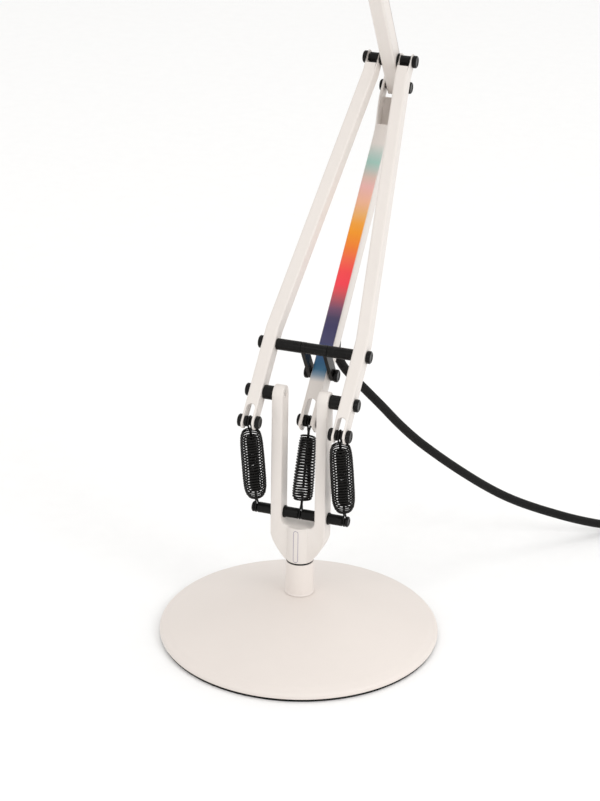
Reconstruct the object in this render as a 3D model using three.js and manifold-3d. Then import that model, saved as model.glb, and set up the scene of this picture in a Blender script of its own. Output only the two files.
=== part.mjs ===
// Spring-balanced desk lamp: round weighted base, swivelling fork, two-arm linkage with three
// spring sets, a spun shade on a tilting head, and a fabric cable lying on the table.
// Millimetres. Origin: centre of the base's underside. +X runs along every pivot pin, to the
// lamp's right; +Y points back, away from the shade; +Z is up.
import * as THREE from 'three';
import { mergeVertices } from 'three/addons/utils/BufferGeometryUtils.js';
import Module from 'manifold-3d';

const wasm = await Module();
wasm.setup();

// ---- Driving dimensions ----
const gap = 0.3;                 // clearance between touching pieces
const baseRadius = 110;
const baseRimHeight = 7;
const baseDomeRise = 31;         // rise of the cover from its rim to the stem
const stemRadius = 11;
const stemTop = 64;
const forkBottom = 65.5;
const saddleHeight = 96;         // floor of the fork's U
const anchorHeight = 104;        // shaft that holds the springs' lower ends
const pivotHeight = 203;         // main pivot of the lower arm
const forkInner = 14.3;          // half gap between the fork's uprights
const forkOuter = 22.3;
const forkDepth = 7.5;           // half depth of an upright

const lowerLean = 44.3;          // degrees the lower arm leans back from vertical
const lowerLength = 293;         // main pivot to elbow
const crossShaftAt = 40;         // along the lower arm, above the main pivot
const tailAt = -25.5;            // spring pin, below the main pivot
const upperLean = 33.2;          // degrees the upper arm leans forward
const upperLength = 380;         // elbow to head pivot
const crankLength = 33;          // crank, and the upper arm's tail, which matches it

const armSpread = 36.3;          // arm centre from the middle plane at the base end
const elbowSpread = 13.35;       // the same at the elbow
const armWidth = 10.5;
const armDepth = 12;
const sheet = 1.5;               // wall of the folded channels
const springSpread = 36.1;

const linkHalf = 6.2;            // half width of the link bar
const linkFront = -8.5;          // its web, in front of its pin line
const linkBack = 6.5;
const linkEarHalf = 9.9;         // half width across its flared top
const upperHalf = 6;
const upperDepth = 6.5;          // half depth of the upper arm

const rodRadius = 2.5;
const pinRadius = 2.2;
const spoolCore = 3.0;           // groove floor of the rollers that carry the spring loops
const bushRadius = 4.25;
const tubeRadius = 4.5;          // black tubes on the cross shaft
const capRadius = 5;
const cableRadius = 3.6;
const coilRadius = 38;           // cable coil, middle of its turns

// ---- Worked-out places ----
const radians = THREE.MathUtils.degToRad;
const along = (lean, s, back = 0) => [
  0,
  s * Math.sin(radians(lean)) + back * Math.cos(radians(lean)),
  s * Math.cos(radians(lean)) - back * Math.sin(radians(lean)),
];
const offset = (origin, step) => origin.map((v, i) => v + step[i]);
const mainPivot = [0, 0, pivotHeight];
const crossShaft = offset(mainPivot, along(lowerLean, crossShaftAt));
const elbow = offset(mainPivot, along(lowerLean, lowerLength));
const tailPin = offset(mainPivot, along(lowerLean, tailAt));
const crankPin = offset(crossShaft, along(-upperLean, -crankLength));
const linkTail = offset(crankPin, along(lowerLean, -crossShaftAt));
const linkLength = lowerLength;  // link tail pin to the pin in the upper arm's tail
const headPivot = offset(elbow, along(-upperLean, upperLength));
const anchor = [0, 0, anchorHeight];

// ---- Materials ----
const finish = (color, roughness, metalness) => new THREE.MeshStandardMaterial({ color, roughness, metalness });
const cream = finish('#e6dfd8', 0.45, 0.0);
const black = finish('#1b1b1b', 0.35, 0.0);
const steel = finish('#9a9a98', 0.35, 1.0);
const springSteel = finish('#141414', 0.4, 0.6);
const castIron = finish('#3a3a3a', 0.8, 0.3);
const rubber = finish('#161616', 0.9, 0.0);
const fabric = finish('#101010', 0.95, 0.0);
const glass = finish('#f4f1ea', 0.1, 0.0);
const brass = finish('#b89a58', 0.35, 1.0);
const gradient = finish('#d05060', 0.45, 0.0);

// ---- Shape helpers ----
function toSolid(geometry) {
  const bare = geometry.clone();
  bare.deleteAttribute('normal');
  bare.deleteAttribute('uv');
  const welded = mergeVertices(bare, 1e-4);
  const vertProperties = new Float32Array(welded.attributes.position.array);
  const triVerts = new Uint32Array(welded.index.array);
  return new wasm.Manifold(new wasm.Mesh({ numProp: 3, vertProperties, triVerts }));
}

function toGeometry(solid) {
  const mesh = solid.getMesh();
  const geometry = new THREE.BufferGeometry();
  geometry.setAttribute('position', new THREE.BufferAttribute(mesh.vertProperties, 3));
  geometry.setIndex(new THREE.BufferAttribute(mesh.triVerts, 1));
  return geometry;
}

const cut = (body, ...tools) => toGeometry(tools.reduce((solid, tool) => solid.subtract(toSolid(tool)), toSolid(body)));
const join = (...bodies) => toGeometry(bodies.map(toSolid).reduce((a, b) => a.add(b)));
const common = (a, b) => toGeometry(toSolid(a).intersect(toSolid(b)));

const vectors = (points) => points.map(([x, y]) => new THREE.Vector2(x, y));

// Round solid on the Z axis from [radius, height] points, counter-clockwise.
const turned = (points, segments = 24) => new THREE.LatheGeometry(vectors(points), segments).rotateX(Math.PI / 2);

// The same on the X axis, from [radius, x] points.
const turnedX = (points, segments = 12) => new THREE.LatheGeometry(vectors(points), segments).rotateZ(-Math.PI / 2);

const rodX = (radius, x0, x1, segments = 12) => turnedX([[0, x0], [radius, x0], [radius, x1], [0, x1]], segments);
const tubeX = (bore, radius, x0, x1, segments = 16) =>
  turnedX([[bore, x0], [radius, x0], [radius, x1], [bore, x1], [bore, x0]], segments);
const box = (x0, x1, y0, y1, z0, z1) =>
  new THREE.BoxGeometry(x1 - x0, y1 - y0, z1 - z0).translate((x0 + x1) / 2, (y0 + y1) / 2, (z0 + z1) / 2);

// Pin on the X axis with a chamfered head beyond each of its ends x0 and x1.
function headedPin(radius, x0, x1, headRadius, headLength) {
  const low = x0 - headLength;
  const high = x1 + headLength;
  return turnedX([
    [0, low], [headRadius - 0.7, low], [headRadius, low + 0.6], [headRadius, x0], [radius, x0],
    [radius, x1], [headRadius, x1], [headRadius, high - 0.6], [headRadius - 0.7, high], [0, high],
  ]);
}

// Roller on the X axis with a groove round its middle.
const roller = (bore, radius, core, x0, x1, [left, right]) => turnedX([
  [bore, x0], [radius, x0], [radius, left - 0.3], [radius - 0.3, left], [core, left],
  [core, right], [radius - 0.3, right], [radius, right + 0.3], [radius, x1], [bore, x1], [bore, x0],
]);

// Side outline in Y and Z, extruded along X.
function sidePlate(outline, x0, x1, curveSegments = 8) {
  const plate = new THREE.ExtrudeGeometry(outline, { depth: x1 - x0, bevelEnabled: false, curveSegments });
  plate.translate(0, 0, x0);
  const yzx = new THREE.Matrix4().makeBasis(
    new THREE.Vector3(0, 1, 0),
    new THREE.Vector3(0, 0, 1),
    new THREE.Vector3(1, 0, 0),
  );
  return plate.applyMatrix4(yzx);
}

// Slot with round ends of the given half width, between two heights.
function stadium(half, z0, z1, y = 0) {
  const outline = new THREE.Shape();
  outline.absarc(y, z1, half, 0, Math.PI);
  outline.absarc(y, z0, half, Math.PI, 2 * Math.PI);
  return outline;
}

// Bar whose width and place change along its length. Each station is [z, centre x, half width].
function loft(stations, y0, y1) {
  const corners = stations.flatMap(([z, x, half]) => [
    [x - half, y0, z],
    [x + half, y0, z],
    [x + half, y1, z],
    [x - half, y1, z],
  ]);
  const last = (stations.length - 1) * 4;
  const triangles = [0, 3, 2, 0, 2, 1, last, last + 1, last + 2, last, last + 2, last + 3];
  for (let i = 0; i < last; i += 4) {
    for (let k = 0; k < 4; k += 1) {
      const next = (k + 1) % 4;
      triangles.push(i + k, i + next, i + 4 + next, i + k, i + 4 + next, i + 4 + k);
    }
  }
  const geometry = new THREE.BufferGeometry();
  geometry.setAttribute('position', new THREE.Float32BufferAttribute(corners.flat(), 3));
  geometry.setIndex(triangles);
  return geometry;
}

function circle(radius, sides) {
  const points = Array.from({ length: sides }, (_, i) => {
    const turn = (2 * Math.PI * i) / sides;
    return new THREE.Vector2(radius * Math.cos(turn), radius * Math.sin(turn));
  });
  return new THREE.Shape(points);
}

const curve = (points) => new THREE.CatmullRomCurve3(points.map((p) => new THREE.Vector3(...p)), false, 'centripetal');
const wire = (points, radius, steps, sides = 8) =>
  new THREE.ExtrudeGeometry(circle(radius, sides), { steps, bevelEnabled: false, extrudePath: curve(points) });

// ---- Scene graph ----
const group = new THREE.Group();

function add(parent, name, geometry, material) {
  const mesh = new THREE.Mesh(geometry, material);
  mesh.name = name;
  parent.add(mesh);
  return mesh;
}

// A piece at the right and the same piece, turned half round, at the left.
function addPair(parent, name, geometry, material) {
  add(parent, `${name}_right`, geometry, material);
  add(parent, `${name}_left`, geometry.clone().rotateZ(Math.PI), material);
}

function frameAt(position, lean) {
  const frame = new THREE.Group();
  frame.position.set(...position);
  frame.rotation.x = -radians(lean);
  group.add(frame);
  return frame;
}

// ---- Base ----
const domeHeight = (radius) => baseRimHeight + baseDomeRise * (1 - (radius / baseRadius) ** 1.4);

function makeBase() {
  const padTop = 2;
  const shell = 1.6;
  const boltHole = 5.6;
  const spindleHole = 6.5;
  const domeRadii = [98, 76, 52, 28, stemRadius];
  add(group, 'foot_pad', turned([[0, 0], [108.5, 0], [108.5, padTop], [0, padTop]], 48), rubber);

  const outside = domeRadii.map((radius) => [radius, domeHeight(radius)]);
  const inside = [stemRadius, 28, 60, 98].map((radius) => [radius, domeHeight(radius) - shell]);
  const top = domeHeight(stemRadius);
  const bottom = padTop + gap;
  const cover = [
    [107.4, bottom], [109.2, bottom], [baseRadius, 3.2], [baseRadius, 5.6], [108.8, baseRimHeight + 0.2],
    ...outside, [boltHole, top], [boltHole, top - shell], ...inside, [107.4, 6.2], [107.4, bottom],
  ];
  add(group, 'base_cover', turned(cover, 44), cream);

  const underside = top - shell - gap;
  const weight = [
    [9.5, bottom], [100, bottom], [100, 8.4], [70, 17], [30, 24], [15, 24],
    [stemRadius, underside], [boltHole, underside], [boltHole, 9.2], [9.5, 9.2], [9.5, bottom],
  ];
  add(group, 'base_weight', turned(weight, 24), castIron);

  const stemBottom = top + gap;
  const stem = [
    [boltHole, stemBottom], [stemRadius, stemBottom], [stemRadius, stemTop],
    [spindleHole, stemTop], [spindleHole, 51], [boltHole, 51], [boltHole, stemBottom],
  ];
  add(group, 'stem', turned(stem, 24), cream);
  const spindle = [[0, 2.6], [8.8, 2.6], [8.8, 8.9], [5.2, 8.9], [5.2, 51.4], [6.1, 51.4], [6.1, 84], [5.2, 85], [0, 85]];
  add(group, 'swivel_spindle', turned(spindle, 16), steel);
  const washer = [[6.7, stemTop + gap], [10.9, stemTop + gap], [10.9, forkBottom - gap], [6.7, forkBottom - gap]];
  add(group, 'swivel_washer', turned([...washer, washer[0]], 24), black);
}

// ---- Fork ----
function forkOutline() {
  const outline = new THREE.Shape();
  const top = pivotHeight + forkDepth;
  outline.moveTo(-stemRadius, forkBottom);
  outline.lineTo(stemRadius, forkBottom);
  outline.quadraticCurveTo(20, 77, forkOuter, 87);
  outline.lineTo(forkOuter, top);
  outline.lineTo(forkInner, top);
  outline.lineTo(forkInner, saddleHeight + 3);
  outline.quadraticCurveTo(forkInner, saddleHeight, forkInner - 3, saddleHeight);
  outline.lineTo(3 - forkInner, saddleHeight);
  outline.quadraticCurveTo(-forkInner, saddleHeight, -forkInner, saddleHeight + 3);
  outline.lineTo(-forkInner, top);
  outline.lineTo(-forkOuter, top);
  outline.lineTo(-forkOuter, 87);
  outline.quadraticCurveTo(-20, 77, -stemRadius, forkBottom);
  return outline;
}

function makeFork() {
  const front = new THREE.ExtrudeGeometry(forkOutline(), { depth: 2 * forkDepth, bevelEnabled: false, curveSegments: 5 });
  front.translate(0, 0, -forkDepth);
  front.rotateX(Math.PI / 2);
  const side = sidePlate(stadium(forkDepth, forkBottom - 10, pivotHeight), -30, 30, 10);
  const socket = turned([[0, forkBottom], [stemRadius, forkBottom], [stemRadius, saddleHeight], [0, saddleHeight]], 32);
  const recess = 3;
  const body = cut(
    join(common(front, side), socket),
    turned([[0, 60], [6.5, 60], [6.5, 85.5], [0, 85.5]], 20),
    rodX(3.4, -30, 30).translate(...mainPivot),
    rodX(5, -forkInner - recess, forkInner + recess, 20).translate(...mainPivot),
    rodX(rodRadius + gap, -30, 30).translate(...anchor),
  );
  add(group, 'fork', body, cream);
}

// Shaft across the fork's foot. Its sleeves leave a groove for each spring's loop.
function makeAnchor() {
  const frame = frameAt(anchor, 0);
  const radius = 4.15;
  const collar = 4.8;
  const bore = rodRadius + gap;
  const groove = 1.2;
  const inner = [
    [bore, groove], [radius - 0.5, groove], [radius, groove + 0.5], [radius, 12.6],
    [collar, 12.6], [collar, forkInner - gap], [bore, forkInner - gap], [bore, groove],
  ];
  const outer = [
    [bore, forkOuter + gap], [collar, forkOuter + gap], [collar, 23.9], [radius, 23.9],
    [radius, springSpread - groove], [bore, springSpread - groove], [bore, forkOuter + gap],
  ];
  const end = springSpread + groove;
  add(frame, 'anchor_shaft', headedPin(rodRadius, -end, end, radius, 2.2), black);
  addPair(frame, 'anchor_inner_sleeve', turnedX(inner), black);
  addPair(frame, 'anchor_outer_sleeve', turnedX(outer), black);
}

// ---- Springs ----
// A wire loop that passes round a pin at z = 0 and ends inside the coil.
function hook(pinRadius, reach) {
  const wireRadius = 0.8;
  const bend = pinRadius + gap + wireRadius + 0.1;
  const turn = [200, 235, 270, 305, 340].map((degrees) => [
    0,
    bend * Math.cos(radians(degrees)),
    bend * Math.sin(radians(degrees)),
  ]);
  const legs = [[1.35, reach], [1.35, reach - 4], [bend * 0.75, bend + 0.6]];
  const right = legs.map(([y, z]) => [0, y, z]);
  const left = legs.map(([y, z]) => [0, -y, z]);
  return wire([...left, ...turn, ...right.reverse()], wireRadius, 16, 5);
}

// Coil envelope: a sleeve whose ends are drawn in like the coil's.
function coil(radius, thickness, z0, z1) {
  const neck = 4.4;
  const length = z1 - z0;
  const shape = [[neck, 0], [radius * 0.78, 0.06], [radius, 0.16], [radius, 0.78], [radius * 0.84, 0.93], [neck, 1]];
  const outside = shape.map(([r, t]) => [r, z0 + t * length]);
  const inside = shape.map(([r, t]) => [r - thickness, z0 + t * length]).reverse();
  return turned([...outside, ...inside, outside[0]], 16);
}

function innerCoil(z0, z1) {
  return turned([[3.7, z0], [4.9, z0], [4.9, z1], [3.7, z1], [3.7, z0]], 12);
}

function makeSpring(name, foot, head, radius) {
  const reachY = head[1] - foot[1];
  const reachZ = head[2] - foot[2];
  const length = Math.hypot(reachY, reachZ);
  const lean = THREE.MathUtils.radToDeg(Math.atan2(reachY, reachZ));
  const frame = frameAt(foot, lean);
  const z0 = 10.5;
  const z1 = length - 9.5;
  add(frame, `lower_hook_${name}`, hook(rodRadius, z0 + 5.5), springSteel);
  add(frame, `spring_${name}`, coil(radius, 1.6, z0, z1), springSteel);
  if (name !== 'centre') {
    add(frame, `inner_spring_${name}`, innerCoil(z0 + 7, z1 - 7), springSteel);
  }
  const upper = hook(spoolCore, 15).rotateX(Math.PI).translate(0, 0, length);
  add(frame, `upper_hook_${name}`, upper, springSteel);
}

function makeSprings() {
  for (const [name, x] of [['left', -springSpread], ['right', springSpread]]) {
    makeSpring(name, [x, 0, anchorHeight], [x, tailPin[1], tailPin[2]], 9.25);
  }
  makeSpring('centre', anchor, linkTail, 8.4);
}

// ---- Lower arm ----
const spreadAt = (z) => {
  const parallelEnd = 52;
  const landStart = lowerLength - 14;
  const t = THREE.MathUtils.clamp((z - parallelEnd) / (landStart - parallelEnd), 0, 1);
  return THREE.MathUtils.lerp(armSpread, elbowSpread, t);
};

// Folded channel: web in front, flanges running back, both ends rounded.
function outerArm() {
  const half = armDepth / 2;
  const stations = [-50, 52, lowerLength - 14, lowerLength + 20];
  const outside = loft(stations.map((z) => [z, spreadAt(z), armWidth / 2]), -half, half);
  const inside = loft(stations.map((z) => [z, spreadAt(z), armWidth / 2 - sheet]), sheet - half, half + 5);
  const silhouette = sidePlate(stadium(half, tailAt, lowerLength), 0, 60);
  const channel = common(cut(outside, inside), silhouette);
  const slotHalf = 3.4;
  const tailSlot = stadium(slotHalf, tailAt - 12, -13 - slotHalf, armSpread);
  const elbowSlot = stadium(armWidth / 2 - sheet, lowerLength - 4, lowerLength + 12, elbowSpread);
  return cut(
    channel,
    frontCut(tailSlot, -half - 2, 0),
    frontCut(elbowSlot, -half - 2, 0),
    rodX(2.5, 20, 50, 12).translate(0, 0, tailAt),
    rodX(3.4, 20, 50, 14),
    rodX(rodRadius + gap, 20, 50, 14).translate(0, 0, crossShaftAt),
    rodX(rodRadius + gap, 5, 30, 14).translate(0, 0, lowerLength),
    rodX(bushRadius + gap, 5, elbowSpread, 20).translate(0, 0, lowerLength),
  );
}

// Outline in X and Z, cut from y0 to y1.
function frontCut(outline, y0, y1) {
  const tool = new THREE.ExtrudeGeometry(outline, { depth: y1 - y0, bevelEnabled: false, curveSegments: 6 });
  return tool.rotateX(Math.PI / 2).translate(0, y1, 0);
}

// The left arm is the right arm's mirror image.
function mirrored(geometry) {
  const copy = geometry.clone();
  copy.scale(-1, 1, 1);
  const index = copy.index.array;
  for (let i = 0; i < index.length; i += 3) {
    [index[i], index[i + 1]] = [index[i + 1], index[i]];
  }
  return copy;
}

function makeLowerArm() {
  const frame = frameAt(mainPivot, lowerLean);
  const arm = outerArm();
  add(frame, 'outer_arm_right', arm, cream);
  add(frame, 'outer_arm_left', mirrored(arm), cream);
  makeMainPivots(frame);
  makeCrossShaft(frame);
  makeTailPins(frame);
  makeElbow(frame);
}

function makeMainPivots(frame) {
  const armIn = armSpread - armWidth / 2;
  const armOut = armSpread + armWidth / 2;
  const head = armOut + gap;
  const bolt = [[0, 13.6], [3, 13.6], [3, head], [capRadius, head], [capRadius, head + 2.8], [4.3, head + 3.5], [0, head + 3.5]];
  addPair(frame, 'main_pivot_bolt', turnedX(bolt), black);
  addPair(frame, 'main_pivot_spacer', tubeX(3.4, 5.5, forkOuter + gap, armIn - gap, 20), black);
}

function makeCrossShaft(parent) {
  const frame = new THREE.Group();
  frame.position.z = crossShaftAt;
  parent.add(frame);
  const armIn = armSpread - armWidth / 2;
  const armOut = armSpread + armWidth / 2;
  const sleeve = tubeX(rodRadius + gap, tubeRadius, crankHalf + gap, armIn - gap, 20);
  add(frame, 'cross_shaft', headedPin(rodRadius, -armOut - gap, armOut + gap, capRadius, 3.4), black);
  addPair(frame, 'cross_shaft_sleeve', sleeve, black);
}

function makeTailPins(parent) {
  const frame = new THREE.Group();
  frame.position.z = tailAt;
  parent.add(frame);
  const armIn = armSpread - armWidth / 2;
  const armOut = armSpread + armWidth / 2;
  addPair(frame, 'tail_pin', headedPin(pinRadius, armIn - gap, armOut + gap, capRadius, 3.2), black);
  const groove = [springSpread - 1.2, springSpread + 1.2];
  const spool = roller(2.5, 4.2, spoolCore, armIn + sheet + gap, armOut - sheet - gap, groove);
  addPair(frame, 'tail_spool', spool, black);
}

function makeElbow(parent) {
  const frame = new THREE.Group();
  frame.position.z = lowerLength;
  parent.add(frame);
  const armIn = elbowSpread - armWidth / 2;
  const armOut = elbowSpread + armWidth / 2;
  const bore = rodRadius + gap;
  add(frame, 'elbow_shaft', headedPin(rodRadius, -armOut - gap, armOut + gap, capRadius, 3.4), black);
  const bush = [
    [bore, upperHalf + gap], [5.4, upperHalf + gap], [5.4, armIn - gap], [bushRadius, armIn - gap],
    [bushRadius, armOut - sheet - gap], [bore, armOut - sheet - gap], [bore, upperHalf + gap],
  ];
  addPair(frame, 'elbow_bush', turnedX(bush), black);
}

// ---- Crank and link bar ----
const crankHalf = 10.4;

function makeCrank() {
  const frame = frameAt(crossShaft, -upperLean);
  const cheekIn = 7.4;
  const outline = stadium(tubeRadius, -crankLength, 0);
  const hub = rodX(tubeRadius, -crankHalf, crankHalf, 20);
  const cheeks = [cheekIn, -crankHalf].map((x) => sidePlate(outline, x, x + crankHalf - cheekIn, 8));
  const bore = rodX(rodRadius + gap, -20, 20);
  const pinHole = rodX(2.5, -20, 20, 14).translate(0, 0, -crankLength);
  add(frame, 'crank', cut(join(hub, ...cheeks), bore, pinHole), black);

  const head = crankHalf + gap;
  add(frame, 'crank_pin', headedPin(pinRadius, -head, head, capRadius, 3).translate(0, 0, -crankLength), black);
}

function linkBar() {
  const flareStart = linkLength - 41;
  const flareEnd = linkLength - 21;
  const stations = [[-30, linkHalf], [flareStart, linkHalf], [flareEnd, linkEarHalf], [linkLength + 20, linkEarHalf]];
  const outside = loft(stations.map(([z, half]) => [z, 0, half]), linkFront, linkBack);
  const inside = loft(stations.map(([z, half]) => [z, 0, half - sheet]), linkFront + sheet, linkBack + 5);
  const silhouette = new THREE.Shape();
  silhouette.absarc(0, linkLength, -linkFront, Math.PI / 4, Math.PI);
  silhouette.absarc(linkFront + 5, -2.5, 5, Math.PI, 1.5 * Math.PI);
  silhouette.absarc(linkBack - 5, -2.5, 5, 1.5 * Math.PI, 2 * Math.PI);
  const channel = common(cut(outside, inside), sidePlate(silhouette, -20, 20));
  const tailSlot = 3.4;
  const topSlot = upperHalf + 0.7;
  return cut(
    channel,
    frontCut(stadium(tailSlot, -20, 16 - tailSlot), linkFront - 3, 0),
    frontCut(stadium(topSlot, flareStart + 5 + topSlot, linkLength + 20), linkFront - 3, 0),
    rodX(2.5, -20, 20, 14),
    rodX(2.5, -20, 20, 14).translate(0, 0, crossShaftAt),
    rodX(2.5, -20, 20, 14).translate(0, 0, linkLength),
  );
}

function makeLink() {
  const frame = frameAt(linkTail, lowerLean);
  add(frame, 'link_bar', linkBar(), gradient);
  const tailHead = linkHalf + gap;
  const topHead = linkEarHalf + gap;
  const spoolHalf = linkHalf - sheet - gap;
  add(frame, 'link_tail_pin', headedPin(pinRadius, -tailHead, tailHead, 4.8, 3), black);
  add(frame, 'link_top_pin', headedPin(pinRadius, -topHead, topHead, 4.8, 3).translate(0, 0, linkLength), black);
  add(frame, 'link_spool', roller(2.5, 4.6, spoolCore, -spoolHalf, spoolHalf, [-1.2, 1.2]), black);
}

// ---- Upper arm ----
function makeUpperArm() {
  const frame = frameAt(elbow, -upperLean);
  const outside = box(-upperHalf, upperHalf, -upperDepth, upperDepth, -60, upperLength + 20);
  const inner = upperHalf - sheet;
  const inside = box(-inner, inner, sheet - upperDepth, upperDepth + 5, -70, upperLength + 30);
  const silhouette = sidePlate(stadium(upperDepth, -crankLength, upperLength), -20, 20);
  const channel = common(cut(outside, inside), silhouette);
  const arm = cut(
    channel,
    rodX(rodRadius + gap, -20, 20, 14),
    rodX(2.5, -20, 20, 14).translate(0, 0, -crankLength),
    rodX(rodRadius + gap, -20, 20, 14).translate(0, 0, upperLength),
    frontCut(stadium(inner, upperLength - 14, upperLength + 20), -upperDepth - 2, 0),
  );
  add(frame, 'upper_arm', arm, cream);
  const leadAt = 1.4;
  const leadPath = [[0, leadAt, 16], [0, leadAt, 100], [0, leadAt, 240], [0, leadAt, upperLength - 30]];
  add(frame, 'upper_arm_lead', wire(leadPath, cableRadius - 0.8, 6), fabric);
}

// ---- Head ----
const neckBack = -30;            // shade axis, in front of the head pivot

function makeHead() {
  const frame = frameAt(headPivot, 0);
  makeKnuckle(frame);
  const lamp = new THREE.Group();
  lamp.position.y = neckBack;
  frame.add(lamp);
  makeLampholder(lamp);
  makeShade(lamp);
}

function makeKnuckle(frame) {
  const half = 4.1;
  const bar = new THREE.Shape();
  bar.absarc(0, 0, 6, -Math.PI / 2, Math.PI / 2);
  bar.lineTo(neckBack, -9);
  bar.lineTo(neckBack, -24);
  const neck = turned([[0, -30], [7.5, -30], [7.5, -10], [5.5, -8], [0, -8]], 20).translate(0, neckBack, 0);
  const bore = rodX(rodRadius + gap, -10, 10);
  add(frame, 'head_knuckle', cut(join(sidePlate(bar, -half, half), neck), bore), black);
  const side = upperHalf + gap;
  const bolt = [
    [0, -side - 3], [4.3, -side - 3], [capRadius, -side - 2.4], [capRadius, -side], [rodRadius, -side],
    [rodRadius, side], [8, side], [8, side + 6], [7, side + 7], [0, side + 7],
  ];
  add(frame, 'head_pivot_knob', turnedX(bolt, 20), black);
}

function makeLampholder(frame) {
  const cup = [
    [0, -44], [13.4, -44], [13.4, -68], [16, -68], [17, -66], [20, -50], [20, -49.4],
    [17, -49.4], [17, -36], [14.5, -30.3], [0, -30.3],
  ];
  const holeFloor = -39.2;         // leaves room under the button for its stroke
  const buttonHole = turned([[0, holeFloor], [2.8, holeFloor], [2.8, -28], [0, -28]], 12).translate(11, 0, 0);
  add(frame, 'lampholder', cut(turned(cup, 24), buttonHole), black);
  const button = [[0, -36.6], [2.4, -36.6], [2.4, -28.4], [1.9, -27.8], [0, -27.8]];
  add(frame, 'switch_button', turned(button, 12).translate(11, 0, 0), cream);
  add(frame, 'bulb_cap', turned([[0, -70], [13, -70], [13, -46], [8, -44.5], [0, -44.5]], 20), brass);
  const wall = 1.2;
  const glassOut = [[0, -148], [15, -144], [26, -133], [30, -118], [28, -106], [20, -92], [14, -80], [12.5, -70.4]];
  const glassIn = glassOut.slice(1).map(([r, z]) => [r - wall, z]).reverse();
  add(frame, 'bulb_glass', turned([...glassOut, ...glassIn, [0, -148 + wall]], 16), glass);
}

// Spun bell: a short flat shoulder, then a curve out to the rim.
function makeShade(frame) {
  const wall = 1.4;
  const outside = [[17.4, -47.6], [21, -47.6], [26, -53], [42, -79], [58, -108], [69, -136], [75, -156]];
  const inside = outside.map(([r, z], i) => (i === 0 ? [r, z - wall] : [r - wall, z - wall * 0.7])).reverse();
  const profile = [...inside, ...outside];
  add(frame, 'shade', turned([...profile, profile[0]].reverse(), 32), cream);
}

// ---- Cable ----
// Route of the free cable's centre line, from the relief to the coil.
const cableRoute = [
  [0, 80.5, 220], [1.3, 78, 209.4], [6.2, 79.6, 198.3], [12.6, 84.8, 187.6], [19.4, 91.1, 177.3],
  [31.9, 103, 157.9], [43.5, 114, 139.4], [55.2, 125.1, 122.7], [67.1, 136.4, 107.9], [79, 147.7, 94],
  [91, 159, 80.8], [103.1, 170.6, 68.1], [115.3, 182.1, 56.6], [127.6, 193.8, 46.5], [140, 205.5, 37.6],
  [152.5, 217.4, 29.3], [165, 229.2, 21.5], [177.6, 241.2, 14.4], [187.5, 250.6, 9.6], [198, 260.6, 5.9],
  [206, 268.1, 4.3], [212.8, 274.6, 3.9],
];
const coilCentre = [261.6, 268.6, 0];
const coilHeight = 22;
const tailRoute = [[310.6, 273.4, 9], [318, 266, 7.6], [326, 258, 7.2], [336, 248, 7.2]];

function makeCable() {
  add(group, 'mains_cable', wire(cableRoute, cableRadius, 46), fabric);
  add(group, 'cable_tail', wire(tailRoute, cableRadius, 6), fabric);
  const halfWidth = 7.9;
  const ring = [
    [coilRadius - halfWidth, 0.2], [coilRadius + halfWidth, 0.2],
    [coilRadius + halfWidth, coilHeight], [coilRadius - halfWidth, coilHeight],
  ];
  add(group, 'cable_coil', turned([...ring, ring[0]], 32).translate(...coilCentre), fabric);
}

// Lead that runs inside the link bar, and the relief where it comes out at the back.
function makeLinkLead() {
  const frame = frameAt(linkTail, lowerLean);
  const reliefTop = [0, 1.2, 97];
  const reliefLength = 24;
  const turnOut = 30;
  const lead = [[0, -3.1, 240], [0, -3.1, 180], [0, -3.1, 118], [0, -2.6, 107], [0, -1, 101.2], [0, 1, 97.5]];
  add(frame, 'link_lead', wire(lead, cableRadius, 10), fabric);
  const profile = [[0, -reliefLength], [3.9, -reliefLength], [4.4, -4], [4.4, 0], [0, 0]];
  const relief = turned(profile, 14).rotateX(radians(turnOut)).translate(...reliefTop);
  add(frame, 'strain_relief', relief, rubber);
}

// Flat two-pin plug lying on the table.
function makePlug() {
  const frame = new THREE.Group();
  frame.position.set(336.2, 247.8, 7.2);
  frame.rotation.z = radians(-135);
  group.add(frame);
  const outline = new THREE.Shape();
  outline.moveTo(-5, 0);
  outline.lineTo(5, 0);
  outline.lineTo(12.5, 12);
  outline.lineTo(17.5, 20);
  outline.lineTo(17.5, 34);
  outline.lineTo(-17.5, 34);
  outline.lineTo(-17.5, 20);
  outline.lineTo(-12.5, 12);
  const body = new THREE.ExtrudeGeometry(outline, { depth: 13.6, bevelEnabled: false }).translate(0, 0, -6.8);
  const prong = turned([[0, 30], [2, 30], [2, 53], [0, 53]], 12).rotateX(-Math.PI / 2);
  const prongs = [-9.5, 9.5].map((x) => prong.clone().translate(x, 0, 0));
  add(frame, 'plug', join(body, ...prongs), black);
}

makeBase();
makeFork();
makeAnchor();
makeSprings();
makeLowerArm();
makeCrank();
makeLink();
makeUpperArm();
makeHead();
makeLinkLead();
makeCable();
makePlug();

export default group;
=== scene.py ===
import math

import bmesh
import bpy
import numpy as np
from mathutils import Matrix, Vector


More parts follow.
